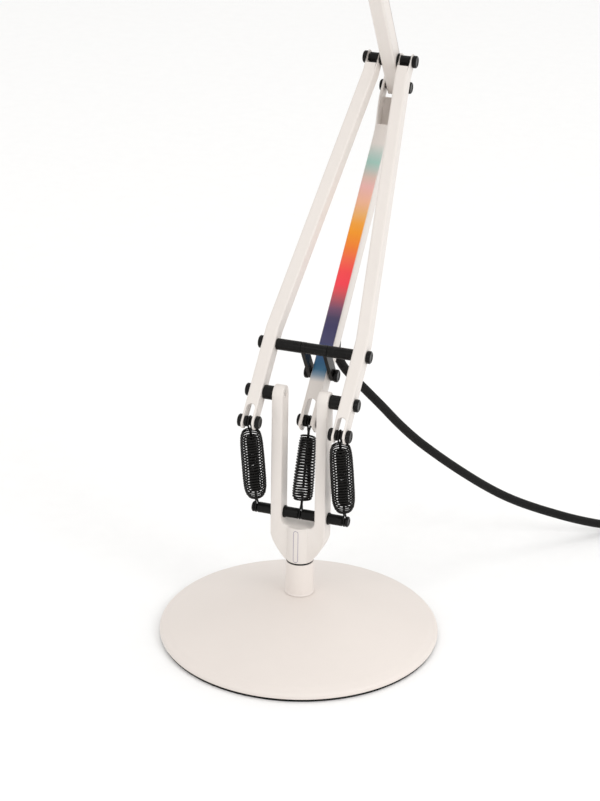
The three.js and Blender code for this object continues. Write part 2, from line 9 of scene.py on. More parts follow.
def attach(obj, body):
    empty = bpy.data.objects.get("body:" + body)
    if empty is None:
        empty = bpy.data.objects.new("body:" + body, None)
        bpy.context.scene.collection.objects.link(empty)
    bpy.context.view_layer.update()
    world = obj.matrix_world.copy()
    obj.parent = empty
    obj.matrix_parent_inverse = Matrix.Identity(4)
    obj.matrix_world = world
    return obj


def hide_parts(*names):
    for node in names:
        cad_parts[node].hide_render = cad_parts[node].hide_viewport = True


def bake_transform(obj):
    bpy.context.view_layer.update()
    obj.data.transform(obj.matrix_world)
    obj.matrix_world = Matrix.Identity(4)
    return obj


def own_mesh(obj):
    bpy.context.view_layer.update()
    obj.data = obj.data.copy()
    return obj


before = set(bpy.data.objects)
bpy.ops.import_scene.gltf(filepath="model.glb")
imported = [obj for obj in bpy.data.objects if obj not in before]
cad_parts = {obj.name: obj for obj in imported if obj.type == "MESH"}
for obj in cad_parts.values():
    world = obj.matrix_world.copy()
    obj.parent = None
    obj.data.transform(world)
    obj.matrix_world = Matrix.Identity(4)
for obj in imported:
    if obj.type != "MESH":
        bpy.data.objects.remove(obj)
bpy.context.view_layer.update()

print("frame loaded,", len(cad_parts), "CAD nodes")

mm = 0.001

# Sizes in mm that place the pieces, the same as the CAD source's
lamp = {
    "pivotHeight": 203.0, "anchorHeight": 104.0,
    "lowerLean": 44.3, "lowerLength": 293.0, "crossShaftAt": 40.0, "tailAt": -25.5,
    "upperLean": 33.2, "upperLength": 380.0, "crankLength": 33.0,
    "springSpread": 36.1, "headForward": -30.0, "gap": 0.3,
}


def placeAt(origin, lean=0.0):
    # A frame leaning back about X: local Y is (0, cos, -sin) and local Z is (0, sin, cos)
    turn = math.radians(lean)
    place = np.eye(4)
    place[:3, 1] = 0, math.cos(turn), -math.sin(turn)
    place[:3, 2] = 0, math.sin(turn), math.cos(turn)
    place[:3, 3] = origin
    return place


def toWorld(points, place):
    # Rotation times point, plus the frame's origin
    return np.asarray(points, float) @ place[:3, :3].T + place[:3, 3]


def placeOn(place, along, lean):
    # A frame with its own lean, a distance along another frame's Z
    return placeAt(toWorld((0, 0, along), place), lean)


lowerFrame = placeAt((0, 0, lamp["pivotHeight"]), lamp["lowerLean"])
crossFrame = placeOn(lowerFrame, lamp["crossShaftAt"], lamp["lowerLean"])
tailFrame = placeOn(lowerFrame, lamp["tailAt"], lamp["lowerLean"])
elbowFrame = placeOn(lowerFrame, lamp["lowerLength"], lamp["lowerLean"])
upperFrame = placeOn(elbowFrame, 0, -lamp["upperLean"])
crankFrame = placeOn(crossFrame, 0, -lamp["upperLean"])
crankPinFrame = placeOn(crankFrame, -lamp["crankLength"], -lamp["upperLean"])
linkFrame = placeOn(placeOn(crankPinFrame, 0, lamp["lowerLean"]), -lamp["crossShaftAt"], lamp["lowerLean"])
linkTopFrame = placeOn(linkFrame, lamp["lowerLength"], lamp["lowerLean"])
pivotFrame = placeOn(upperFrame, lamp["upperLength"], 0)
headFrame = placeAt(pivotFrame[:3, 3] + (0, lamp["headForward"], 0))
anchorFrame = placeAt((0, 0, lamp["anchorHeight"]))
baseFrame = placeAt((0, 0, 0))

view = {
    "azimuth": 18.709, "elevation": 24.178, "roll": 0.95, "distance": 1.9022,
    "target": (0.0, 0.0, 0.2005), "lens": 112.39, "shiftX": -0.00313,
}


def makeCamera():
    # Camera axes from azimuth, elevation and roll; it stands behind the target along its own +Z
    a, e, roll = (math.radians(view[k]) for k in ("azimuth", "elevation", "roll"))
    back = np.array([math.sin(a) * math.cos(e), -math.cos(a) * math.cos(e), math.sin(e)])
    side = np.array([math.cos(a), math.sin(a), 0.0])
    up = np.cross(back, side)
    right = math.cos(roll) * side + math.sin(roll) * up
    top = -math.sin(roll) * side + math.cos(roll) * up
    matrix = np.eye(4)
    matrix[:3, :3] = np.stack([right, top, back], axis=1)
    matrix[:3, 3] = np.array(view["target"]) + back * view["distance"]
    data = bpy.data.cameras.new("camera")
    data.lens, data.sensor_width, data.shift_x = view["lens"], 36.0, view["shiftX"]
    data.clip_start, data.clip_end = 0.05, 30.0
    camera = bpy.data.objects.new("camera", data)
    bpy.context.scene.collection.objects.link(camera)
    camera.matrix_world = Matrix(matrix.tolist())
    bpy.context.scene.camera = camera


makeCamera()
print("camera placed")


# Shapes: grids of points in mm, worked out as whole arrays


def gridFaces(rows, columns, closedRows):
    # Quads between each row and the next, round the columns
    r = np.arange(rows if closedRows else rows - 1)[:, None]
    c = np.arange(columns)[None, :]
    below, right = (r + 1) % rows, (c + 1) % columns
    corners = (r * columns + c, r * columns + right, below * columns + right, below * columns + c)
    return np.stack(np.broadcast_arrays(*corners), axis=-1).reshape(-1, 4)


def turnedGrid(profile, sides, alongX=False):
    # Each profile point (radius, height) goes round the axis: (r cos t, r sin t, h)
    radius, height = np.asarray(profile, float).T
    t = np.linspace(0, 2 * np.pi, sides, endpoint=False)
    grid = np.stack([np.outer(radius, np.cos(t)), np.outer(radius, np.sin(t)),
                     np.outer(height, np.ones(sides))], axis=-1)
    return grid[..., [2, 0, 1]] if alongX else grid


def softened(profile, radius, closed=False, steps=5):
    # Each corner p becomes a parabola from a to b, points a radius away on its two sides: (1-t)^2 a +
    # 2t(1-t) p + t^2 b
    p = np.asarray(profile, float)
    back, on = np.roll(p, 1, 0) - p, np.roll(p, -1, 0) - p
    backLength = np.maximum(np.linalg.norm(back, axis=1), 1e-9)
    onLength = np.maximum(np.linalg.norm(on, axis=1), 1e-9)
    cut = np.minimum(radius, 0.45 * np.minimum(backLength, onLength))
    a = p + back * (cut / backLength)[:, None]
    b = p + on * (cut / onLength)[:, None]
    t = np.linspace(0, 1, steps)[None, :, None]
    arcs = (1 - t) ** 2 * a[:, None] + 2 * t * (1 - t) * p[:, None] + t**2 * b[:, None]
    if closed:
        return arcs.reshape(-1, 2)
    return np.concatenate([p[:1], arcs[1:-1].reshape(-1, 2), p[-1:]])


def arc(centre, radius, start, end, steps=16):
    # Points on a circle between two angles in degrees
    t = np.radians(np.linspace(start, end, steps))
    return np.stack([centre[0] + radius * np.cos(t), centre[1] + radius * np.sin(t)], axis=1)


def stadium(half, low, high, middle=0.0, steps=20):
    # A slot's outline: a half circle over the high end and one under the low end
    return np.concatenate([arc((middle, high), half, 0, 180, steps),
                           arc((middle, low), half, 180, 360, steps)])


def smoothPath(points, perSpan=10):
    # Catmull-Rom: in each span the curve is a cubic through its two ends, with slopes from their neighbours
    p = np.asarray(points, float)
    p = np.concatenate([[2 * p[0] - p[1]], p, [2 * p[-1] - p[-2]]])
    t = np.linspace(0, 1, perSpan, endpoint=False)[None, :, None]
    a, b, c, d = (p[i : len(p) - 3 + i, None] for i in range(4))
    curve = 0.5 * (2 * b + (c - a) * t + (2 * a - 5 * b + 4 * c - d) * t**2 + (3 * b - a - 3 * c + d)
                   * t**3)
    return np.concatenate([curve.reshape(-1, 3), p[-2:-1]])


def runAlong(path):
    # The distance from the start to each point
    return np.concatenate([[0], np.cumsum(np.linalg.norm(np.diff(path, axis=0), axis=1))])


def evenPath(points, step):
    # The same line with its points about a step apart
    run = runAlong(points)
    at = np.linspace(0, run[-1], max(8, round(run[-1] / step) + 1))
    return np.stack([np.interp(at, run, points[:, k]) for k in range(3)], axis=1)


def unit(v):
    return v / np.maximum(np.linalg.norm(v, axis=-1, keepdims=True), 1e-12)


def tubeGrid(path, radius, sides):
    # A circle round each path point. Its axes come from the tangent and one fixed direction, then are
    # turned back by the summed twist between neighbours, so that the skin doesn't wind up
    tangent = unit(np.gradient(path, axis=0))
    spread = np.abs(tangent).max(axis=0)
    first = unit(np.cross(tangent, np.eye(3)[spread.argmin()] + 0.01))
    second = np.cross(tangent, first)
    step = np.arctan2((first[1:] * second[:-1]).sum(1), (first[1:] * first[:-1]).sum(1))
    twist = np.concatenate([[0], np.cumsum(step)])[:, None]
    across = np.cos(twist) * first - np.sin(twist) * second
    over = np.sin(twist) * first + np.cos(twist) * second
    t = np.linspace(0, 2 * np.pi, sides, endpoint=False)[None, :, None]
    r = np.broadcast_to(np.asarray(radius, float), (len(path),))[:, None, None]
    return path[:, None] + r * (np.cos(t) * across[:, None] + np.sin(t) * over[:, None])


def linkMesh(name, mesh, material):
    piece = bpy.data.objects.new(name, mesh)
    bpy.context.scene.collection.objects.link(piece)
    if material is not None:
        mesh.materials.clear()
        mesh.materials.append(material)
    return piece


sharpCorner = 38  # degrees between faces, from which an edge stays sharp


def skin(name, grid, material, place=baseFrame, closedRows=False, sharpAngle=sharpCorner, uv=None):
    # Puts a grid into a mesh in metres, with an end face on each open end, then turns it outwards if its
    # volume is negative
    rows, columns = grid.shape[:2]
    points = toWorld(grid.reshape(-1, 3), place) * mm
    quads = gridFaces(rows, columns, closedRows)
    ends = [] if closedRows else [np.arange(columns)[::-1], (rows - 1) * columns + np.arange(columns)]
    mesh = bpy.data.meshes.new(name)
    mesh.from_pydata(points.tolist(), [], quads.tolist() + [e.tolist() for e in ends])
    if uv is not None:
        around = np.arange(columns) / columns
        u = np.stack([around, around + 1 / columns, around + 1 / columns, around], axis=-1)
        u = np.broadcast_to(u, (rows - 1, columns, 4))
        v = np.stack([uv[:-1], uv[:-1], uv[1:], uv[1:]], axis=-1)[:, None].repeat(columns, axis=1)
        flat = np.concatenate([np.stack([u, v], axis=-1).reshape(-1, 2), np.zeros((2 * columns, 2))])
        mesh.uv_layers.new(name="weave").data.foreach_set("uv", flat.astype(np.float32).ravel())
    tidyMesh(mesh, sharpAngle, merge=uv is None)
    return linkMesh(name, mesh, material)


def tidyMesh(mesh, sharpAngle, merge=True):
    # Closes poles and seams, points the faces outwards and keeps only true corners sharp
    made = bmesh.new()
    made.from_mesh(mesh)
    if merge:
        bmesh.ops.remove_doubles(made, verts=made.verts, dist=2e-6)
        bmesh.ops.dissolve_degenerate(made, dist=1e-7, edges=made.edges)
    if made.calc_volume(signed=True) < 0:
        bmesh.ops.reverse_faces(made, faces=made.faces)
    made.to_mesh(mesh)
    made.free()
    mesh.polygons.foreach_set("use_smooth", np.ones(len(mesh.polygons), bool))
    mesh.set_sharp_from_angle(angle=math.radians(sharpAngle))
    mesh.update()


def mirroredX(grid):
    # The other hand: x changes sign, and the columns run the other way so that the faces stay outside
    return (grid * (-1, 1, 1))[:, ::-1]


def prism(name, outline, low, high, place, alongX=True):
    # An outline in local (y, z) carried along x, or in (x, z) carried along y
    outline = np.asarray(outline, float)
    ends = np.array([low, high], float)[:, None] * np.ones(len(outline))
    a, b = np.broadcast_to(outline[:, 0], ends.shape), np.broadcast_to(outline[:, 1], ends.shape)
    grid = np.stack([ends, a, b] if alongX else [a, ends, b], axis=-1)
    return skin(name, grid, None, place)


def rod(name, radius, low, high, place, height=0.0, sides=40):
    # A round cutter along X
    grid = turnedGrid([[radius, low], [radius, high]], sides, alongX=True) + (0, 0, height)
    return skin(name, grid, None, place)


def keepShape(piece):
    # Puts the modified shape into the mesh
    graph = bpy.context.evaluated_depsgraph_get()
    mesh = bpy.data.meshes.new_from_object(piece.evaluated_get(graph))
    piece.modifiers.clear()
    piece.data = mesh


def carve(target, steps):
    # Cuts, joins or crosses the target with each tool, then keeps the result as its mesh
    for operation, tool in steps:
        modifier = target.modifiers.new("carve", "BOOLEAN")
        modifier.operation, modifier.solver, modifier.object = operation, "EXACT", tool
    bpy.context.view_layer.update()
    materials = list(target.data.materials)
    keepShape(target)
    for tool in [step[1] for step in steps]:
        bpy.data.objects.remove(tool)
    target.data.materials.clear()
    for material in materials:
        target.data.materials.append(material)
    tidyMesh(target.data, sharpCorner)


def easeEdges(piece, width, segments=3, angle=sharpCorner, clamp=False):
    # Rounded edges with flat faces kept flat
    bevel = piece.modifiers.new("edges", "BEVEL")
    bevel.width, bevel.segments, bevel.limit_method = width * mm, segments, "ANGLE"
    bevel.angle_limit, bevel.use_clamp_overlap = math.radians(angle), clamp
    bevel.miter_outer = "MITER_ARC"
    piece.data.polygons.foreach_set("use_smooth", np.ones(len(piece.data.polygons), bool))
    normals = piece.modifiers.new("flatFaces", "WEIGHTED_NORMAL")
    normals.weight, normals.keep_sharp = 80, False


def settle(piece, body, nodes):
    # The piece moves with that body and stands for those CAD nodes
    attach(piece, body)
    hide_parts(*nodes)
    return piece


# Finishes


def node(tree, kind, inputs=None, **settings):
    # A node with its settings, and each input either linked or given a value
    made = tree.nodes.new(kind)
    for key, value in settings.items():
        setattr(made, key, value)
    for socket, value in (inputs or {}).items():
        if isinstance(value, bpy.types.NodeSocket):
            tree.links.new(value, made.inputs[socket])
        else:
            made.inputs[socket].default_value = value
    return made


def calc(tree, operation, a, b=0.0, c=0.0):
    made = node(tree, "ShaderNodeMath", {0: a, 1: b, 2: c}, operation=operation)
    return made.outputs[0]


def swing(tree, value, amount, start):
    # start + amount (value - 0.5)
    return calc(tree, "MULTIPLY_ADD", calc(tree, "SUBTRACT", value, 0.5), amount, start)


def remap(tree, value, low, high, toLow, toHigh):
    made = node(tree, "ShaderNodeMapRange", {"Value": value, "From Min": low, "From Max": high,
                                             "To Min": toLow, "To Max": toHigh})
    return made.outputs["Result"]


def noise(tree, place, scale, detail=2.0, roughness=0.5):
    made = node(tree, "ShaderNodeTexNoise", {"Vector": place, "Scale": scale, "Detail": detail,
                                             "Roughness": roughness})
    return made.outputs["Fac"]


def mixColour(tree, share, a, b, blend="MIX"):
    # Inputs 6 and 7 and output 2 are the node's colour sockets
    made = node(tree, "ShaderNodeMix", {0: share, 6: a, 7: b}, data_type="RGBA", blend_type=blend)
    return made.outputs[2]


def objectPlace(tree):
    return node(tree, "ShaderNodeTexCoord").outputs["Object"]


colourSocket, numberSocket = "NodeSocketColor", "NodeSocketFloat"
surfaceOutputs = [("Colour", colourSocket), ("Roughness", numberSocket), ("Height", numberSocket)]


def newGroup(name, inputs, outputs):
    tree = bpy.data.node_groups.new(name, "ShaderNodeTree")
    for label, kind, value in inputs:
        socket = tree.interface.new_socket(label, in_out="INPUT", socket_type=kind)
        socket.default_value = value
    for label, kind in outputs:
        tree.interface.new_socket(label, in_out="OUTPUT", socket_type=kind)
    return tree, tree.nodes.new("NodeGroupInput").outputs, tree.nodes.new("NodeGroupOutput")


def makeGrainGroup():
    # Fine dimples of a sprayed or moulded skin, with slow changes of tone and gloss
    tree, given, out = newGroup(
        "skinGrain",
        [("Colour", colourSocket, (0.8, 0.8, 0.8, 1)), ("Grain", numberSocket, 900.0),
         ("Gloss", numberSocket, 0.4), ("Uneven", numberSocket, 0.1), ("Tone", numberSocket, 0.03)],
        surfaceOutputs,
    )
    place = objectPlace(tree)
    dimples = noise(tree, place, given["Grain"], 2.0, 0.55)
    specks = noise(tree, place, calc(tree, "MULTIPLY", given["Grain"], 3.1), 1.0)
    slow = noise(tree, place, 14.0, 3.0, 0.6)
    tone = swing(tree, slow, calc(tree, "MULTIPLY", given["Tone"], 4.0), 1.0)
    speckTone = swing(tree, specks, given["Tone"], tone)
    shade = node(tree, "ShaderNodeCombineColor", {"Red": speckTone, "Green": speckTone, "Blue": tone})
    tree.links.new(mixColour(tree, 1.0, given["Colour"], shade.outputs[0], "MULTIPLY"),
                   out.inputs["Colour"])
    mixed = calc(tree, "MULTIPLY_ADD", specks, 0.35, calc(tree, "MULTIPLY", slow, 0.65))
    rough = swing(tree, mixed, given["Uneven"], given["Gloss"])
    tree.links.new(rough, out.inputs["Roughness"])
    tree.links.new(calc(tree, "MULTIPLY_ADD", specks, 0.3, dimples), out.inputs["Height"])
    return tree


def makeEdgeGroup():
    # How much an outside edge is lightened, a painted edge highlight, from the mesh's own convexity, broken
    # up by noise
    tree, given, out = newGroup("paintedEdgeHighlight", [("Reach", numberSocket, 0.08)], [("Mask", numberSocket)])
    sharp = node(tree, "ShaderNodeNewGeometry").outputs["Pointiness"]
    edge = remap(tree, sharp, 0.52, calc(tree, "ADD", 0.52, given["Reach"]), 0.0, 1.0)
    broken = remap(tree, noise(tree, objectPlace(tree), 420.0, 3.0), 0.35, 0.65, 0.25, 1.0)
    tree.links.new(calc(tree, "MULTIPLY", edge, broken), out.inputs["Mask"])
    return tree


def makeDustGroup():
    # A thin film of dust in slow patches with fine flecks
    tree, given, out = newGroup("dustFilm", [("Amount", numberSocket, 0.1)], [("Mask", numberSocket)])
    place = objectPlace(tree)
    patches = remap(tree, noise(tree, place, 30.0, 4.0, 0.65), 0.4, 0.75, 0.0, 1.0)
    flecks = remap(tree, noise(tree, place, 1500.0, 1.0), 0.62, 0.72, 0.0, 1.0)
    both = calc(tree, "MULTIPLY_ADD", flecks, 0.7, calc(tree, "MULTIPLY", patches, 0.5))
    tree.links.new(calc(tree, "MULTIPLY", both, given["Amount"]), out.inputs["Mask"])
    return tree


def makeWeaveGroup():
    # Two sets of threads run round the tube in opposite turns, m = n (u + v) and k = n (u - v). Each
    # thread's crown is the sine across it, and the set on top changes from cell to cell
    tree, given, out = newGroup(
        "braidWeave",
        [("Threads", numberSocket, 12.0), ("ShadedValley", colourSocket, (0.004, 0.004, 0.004, 1)),
         ("Light", colourSocket, (0.03, 0.03, 0.03, 1))],
        surfaceOutputs,
    )
    uv = node(tree, "ShaderNodeUVMap", uv_map="weave").outputs[0]
    split = node(tree, "ShaderNodeSeparateXYZ", {0: uv})
    u = calc(tree, "MULTIPLY", split.outputs[0], given["Threads"])
    v = calc(tree, "MULTIPLY", split.outputs[1], given["Threads"])
    one, two = calc(tree, "ADD", u, v), calc(tree, "SUBTRACT", u, v)
    crowns = [calc(tree, "ABSOLUTE", calc(tree, "SINE", calc(tree, "MULTIPLY", m, math.pi)))
              for m in (one, two)]
    cell = calc(tree, "ADD", calc(tree, "FLOOR", one), calc(tree, "FLOOR", two))
    top = calc(tree, "PINGPONG", cell, 1.0)
    under = calc(tree, "SUBTRACT", 1.0, top)
    height = calc(tree, "ADD", calc(tree, "MULTIPLY", crowns[0], top),
                  calc(tree, "MULTIPLY", crowns[1], under))
    fuzz = noise(tree, objectPlace(tree), 5200.0, 2.0, 0.7)
    # Colour from dark between the threads to light on their crowns: painted shade in the valleys and a
    # painted highlight on the crowns
    lit = calc(tree, "MULTIPLY", height, remap(tree, fuzz, 0.3, 0.7, 0.35, 1.0))
    tree.links.new(mixColour(tree, lit, given["ShadedValley"], given["Light"]), out.inputs["Colour"])
    tree.links.new(remap(tree, fuzz, 0.3, 0.7, 0.62, 0.9), out.inputs["Roughness"])
    tree.links.new(calc(tree, "MULTIPLY_ADD", fuzz, 0.4, height), out.inputs["Height"])
    return tree


skinGrain, paintedEdgeHighlight = makeGrainGroup(), makeEdgeGroup()
dustFilm, braidWeave = makeDustGroup(), makeWeaveGroup()


def useGroup(tree, group, inputs):
    return node(tree, "ShaderNodeGroup", inputs, node_tree=group).outputs


def newFinish(name, fixed):
    # A material with its unchanging values on the shader's own sockets
    material = bpy.data.materials.new(name)
    material.use_nodes = True
    tree = material.node_tree
    shader = tree.nodes["Principled BSDF"]
    for label, value in fixed.items():
        shader.inputs[label].default_value = value
    return material, tree, shader


def bump(tree, shader, height, depth, strength):
    made = node(tree, "ShaderNodeBump", {"Height": height, "Strength": strength, "Distance": depth * mm})
    tree.links.new(made.outputs[0], shader.inputs["Normal"])


def skinFinish(name, colour, gloss, grain, depth, uneven=0.12, tone=0.02, edgeHighlight=None, dust=0.0, fixed=None,
               base=None):
    material, tree, shader = newFinish(name, fixed or {})
    start = (*colour, 1.0) if base is None else base(tree)
    skinOut = useGroup(tree, skinGrain, {"Colour": start, "Grain": grain, "Gloss": gloss, "Uneven": uneven,
                                         "Tone": tone})
    shown, rough = skinOut["Colour"], skinOut["Roughness"]
    # Outside edges mixed towards a lighter colour: a painted edge highlight
    if edgeHighlight:
        mask = useGroup(tree, paintedEdgeHighlight, {"Reach": edgeHighlight["reach"]})["Mask"]
        shown = mixColour(tree, calc(tree, "MULTIPLY", mask, edgeHighlight["amount"]), shown, (*edgeHighlight["colour"], 1.0))
    if dust:
        mask = useGroup(tree, dustFilm, {"Amount": dust})["Mask"]
        shown = mixColour(tree, mask, shown, (0.45, 0.43, 0.40, 1.0))
        rough = calc(tree, "MULTIPLY_ADD", mask, 0.4, rough)
    tree.links.new(shown, shader.inputs["Base Color"])
    tree.links.new(rough, shader.inputs["Roughness"])
    bump(tree, shader, skinOut["Height"], depth, 0.6)
    return material


coat = {
    "colour": (0.765, 0.715, 0.675), "gloss": 0.44, "grain": 1100.0, "depth": 0.035,
    "baseColour": (0.79, 0.725, 0.680),
}
blacks = {
    "metal": (0.0042, 0.0041, 0.0040), "metalGloss": 0.24,
    "plastic": (0.0055, 0.0053, 0.0051), "plasticGloss": 0.34,
    "spring": (0.0035, 0.0034, 0.0033), "springGloss": 0.28,
    "rubber": (0.008, 0.0077, 0.0074), "rubberGloss": 0.7,
    "edgeHighlightColour": (0.05, 0.047, 0.044),
}
# Lighter colours for outside edges: painted edge highlights on the coat and on the black parts
coatEdgeHighlight = {"reach": 0.10, "amount": 0.35, "colour": (0.85, 0.81, 0.77)}
blackEdgeHighlight = {"reach": 0.16, "amount": 0.3, "colour": blacks["edgeHighlightColour"]}

# Distance up the link bar in mm, and the printed colour there
gradient = {
    "stops": [
        (30, (0.74, 0.69, 0.65)), (35, (0.25, 0.33, 0.41)), (40, (0.067, 0.19, 0.32)),
        (47, (0.022, 0.125, 0.27)),
        (55, (0.032, 0.08, 0.21)), (63, (0.055, 0.052, 0.14)), (77, (0.043, 0.034, 0.115)),
        (84, (0.06, 0.043, 0.11)),
        (92, (0.18, 0.07, 0.14)), (100, (0.45, 0.085, 0.115)), (107, (0.76, 0.075, 0.09)),
        (113, (0.96, 0.05, 0.08)),
        (124, (0.97, 0.064, 0.07)), (134, (0.95, 0.135, 0.062)), (145, (0.94, 0.225, 0.022)),
        (158, (0.95, 0.33, 0.011)),
        (166, (0.94, 0.38, 0.045)), (174, (0.88, 0.46, 0.16)), (186, (0.90, 0.485, 0.33)),
        (198, (0.86, 0.48, 0.45)),
        (206, (0.73, 0.53, 0.46)), (213, (0.52, 0.57, 0.52)), (220, (0.36, 0.60, 0.53)),
        (227, (0.50, 0.62, 0.575)),
        (237, (0.765, 0.715, 0.675)),
    ],
    "length": 293.0, "webFace": -8.5, "webDepth": 0.5,
}


def linkColour(tree):
    # How far up the bar a point is: its dot product with the bar's direction, less the tail pin's. The
    # web's face is found the same way across the bar
    place = objectPlace(tree)
    up, back, origin = linkFrame[:3, 2], linkFrame[:3, 1], linkFrame[:3, 3] * mm
    along, across = (node(tree, "ShaderNodeVectorMath", {0: place, 1: tuple(way)},
                          operation="DOT_PRODUCT").outputs["Value"]
                     for way in (up, back))
    low = float(up @ origin)
    share = remap(tree, along, low, low + gradient["length"] * mm, 0.0, 1.0)
    ramp = node(tree, "ShaderNodeValToRGB", {0: share})
    elements = ramp.color_ramp.elements
    stops = [(s / gradient["length"], c) for s, c in gradient["stops"]]
    for element, (at, colour) in zip(elements, (stops[0], stops[-1]), strict=True):
        element.position, element.color = at, (*colour, 1.0)
    for at, colour in stops[1:-1]:
        elements.new(at).color = (*colour, 1.0)
    face = float(back @ origin) + gradient["webFace"] * mm
    onWeb = remap(tree, across, face + 0.2 * mm, face + (0.2 + gradient["webDepth"]) * mm, 1.0, 0.0)
    return mixColour(tree, onWeb, (*coat["colour"], 1.0), ramp.outputs[0])


coatFixed = {"Specular IOR Level": 0.42, "Coat Weight": 0.0}
powderCoat = skinFinish("powderCoat", coat["colour"], coat["gloss"], coat["grain"], coat["depth"],
                        edgeHighlight=coatEdgeHighlight, fixed=coatFixed)
baseCoat = skinFinish("baseCoat", coat["baseColour"], 0.47, 950.0, 0.045, edgeHighlight=coatEdgeHighlight, dust=0.05,
                      fixed=coatFixed)
linkCoat = skinFinish("linkCoat", coat["colour"], 0.36, coat["grain"], 0.03, tone=0.012, fixed=coatFixed,
                      base=linkColour)
blackMetal = skinFinish(
    "blackMetal", blacks["metal"], blacks["metalGloss"], 2400.0, 0.012, 0.2, 0.15, blackEdgeHighlight, 0.03,
    {"Specular IOR Level": 0.14})
blackPlastic = skinFinish(
    "blackPlastic", blacks["plastic"], blacks["plasticGloss"], 1500.0, 0.02, 0.16, 0.1, blackEdgeHighlight, 0.03,
    {"Specular IOR Level": 0.12})
springBlack = skinFinish(
    "springBlack", blacks["spring"], blacks["springGloss"], 3000.0, 0.01, 0.24, 0.2, blackEdgeHighlight, 0.02,
    {"Specular IOR Level": 0.13})
rubberBlack = skinFinish(
    "rubberBlack", blacks["rubber"], blacks["rubberGloss"], 1800.0, 0.04, 0.15, 0.15, None, 0.06,
    {"Specular IOR Level": 0.12})
switchWhite = skinFinish("switchWhite", (0.72, 0.69, 0.64), 0.38, 1600.0, 0.015,
                         fixed={"Specular IOR Level": 0.5})
turnedSteel = skinFinish(
    "turnedSteel", (0.52, 0.51, 0.49), 0.3, 2600.0, 0.01, 0.3, 0.08, blackEdgeHighlight, 0.05, {"Metallic": 1.0})
castIron = skinFinish("castIron", (0.055, 0.052, 0.05), 0.75, 500.0, 0.25, 0.25, 0.3, blackEdgeHighlight, 0.1,
                      {"Metallic": 0.6})
capMetal = skinFinish(
    "capMetal", (0.70, 0.66, 0.56), 0.28, 1900.0, 0.015, 0.25, 0.06, None, 0.05, {"Metallic": 1.0})
opalGlass = skinFinish(
    "opalGlass", (0.93, 0.915, 0.88), 0.16, 700.0, 0.01, 0.08, 0.01, None, 0.03,
    {"Transmission Weight": 0.35, "IOR": 1.48, "Subsurface Weight": 0.0})
labelInk = skinFinish("labelInk", (0.20, 0.16, 0.30), 0.4, 1500.0, 0.005, fixed={"Specular IOR Level": 0.4})


def makeBraidFinish():
    material, tree, shader = newFinish("cableBraid", {"Specular IOR Level": 0.12, "Sheen Weight": 0.04,
                                                      "Sheen Roughness": 0.5})
    # The weave's colours are painted shade between the threads and a painted highlight on their crowns
    woven = useGroup(tree, braidWeave, {"Threads": 14.0, "ShadedValley": (0.0025, 0.0025, 0.0025, 1),
                                        "Light": (0.017, 0.0165, 0.016, 1)})
    dust = useGroup(tree, dustFilm, {"Amount": 0.05})["Mask"]
    tree.links.new(mixColour(tree, dust, woven["Colour"], (0.16, 0.155, 0.145, 1.0)),
                   shader.inputs["Base Color"])
    tree.links.new(woven["Roughness"], shader.inputs["Roughness"])
    bump(tree, shader, woven["Height"], 0.25, 0.9)
    return material


cableBraid = makeBraidFinish()
print("finishes made")


# The base: cover, foot, stem and washer are turned shapes

base = {"radius": 110.0, "rim": 7.0, "rise": 31.0, "power": 1.4, "sides": 180, "stem": 11.0,
        "stemTop": 64.0,
        "domeEdge": 104.0, "sheet": 1.6, "ribFrom": 100.0, "ribTo": 40.0, "ribPitch": 12.0, "ribDepth": 0.5}


def domeHeight(radius):
    # Rim height plus the rise times 1 - (r / R)^power
    return base["rim"] + base["rise"] * (1 - (np.asarray(radius, float) / base["radius"]) ** base["power"])


def makeBase():
    sides = base["sides"]
    over = np.linspace(base["stem"] + 1.0, base["domeEdge"], 40)
    dome = np.stack([over, domeHeight(over)], axis=1)[::-1]
    top = float(domeHeight(base["stem"]))
    inside = np.stack([over, domeHeight(over) - base["sheet"]], axis=1)
    rim = softened([[107.3, 6.0], [107.3, 2.3], [109.3, 2.3], [110.0, 3.1], [110.0, 5.4], [108.2, 7.3],
                    [104.6, 8.9]], 0.7)
    cover = np.concatenate([rim, dome, [[base["stem"], top], [5.7, top], [5.7, top - base["sheet"]]],
                            inside])
    settle(skin("baseCover", turnedGrid(cover, sides), baseCoat, closedRows=True), "base", ["base_cover"])

    ribs = np.arange(base["ribFrom"], base["ribTo"], -base["ribPitch"])
    grooves = (ribs[:, None] - (0, 1.2, 2.4, 3.6)).ravel()
    depths = np.tile([0.0, base["ribDepth"], base["ribDepth"], 0.0], len(ribs))
    foot = np.concatenate([[[0, 2.0], [108.1, 2.0], [108.5, 1.6], [108.5, 0.4], [108.1, 0.0]],
                           np.stack([grooves, depths], axis=1), [[0, 0.0]]])
    settle(skin("footPad", turnedGrid(foot, sides), rubberBlack), "base", ["foot_pad"])

    stem = [[5.8, top + 0.3], [base["stem"] + 0.9, top + 0.3], [base["stem"], top + 1.3],
            [base["stem"], base["stemTop"]],
            [6.6, base["stemTop"]], [6.6, 51.0], [5.8, 51.0]]
    grid = turnedGrid(softened(stem, 0.5, closed=True), 96)
    settle(skin("stemTube", grid, baseCoat, closedRows=True), "base", ["stem"])
    washer = softened([[6.7, 64.3], [10.7, 64.3], [10.7, 65.2], [6.7, 65.2]], 0.2, closed=True)
    settle(skin("swivelWasher", turnedGrid(washer, 96), blackPlastic, closedRows=True), "base",
           ["swivel_washer"])
    for name, finish in (("base_weight", castIron), ("swivel_spindle", turnedSteel)):
        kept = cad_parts[name].data.materials
        kept.clear()
        kept.append(finish)


makeBase()
print("base made")

# The fork: a front outline crossed with a round-topped side outline, joined to its socket

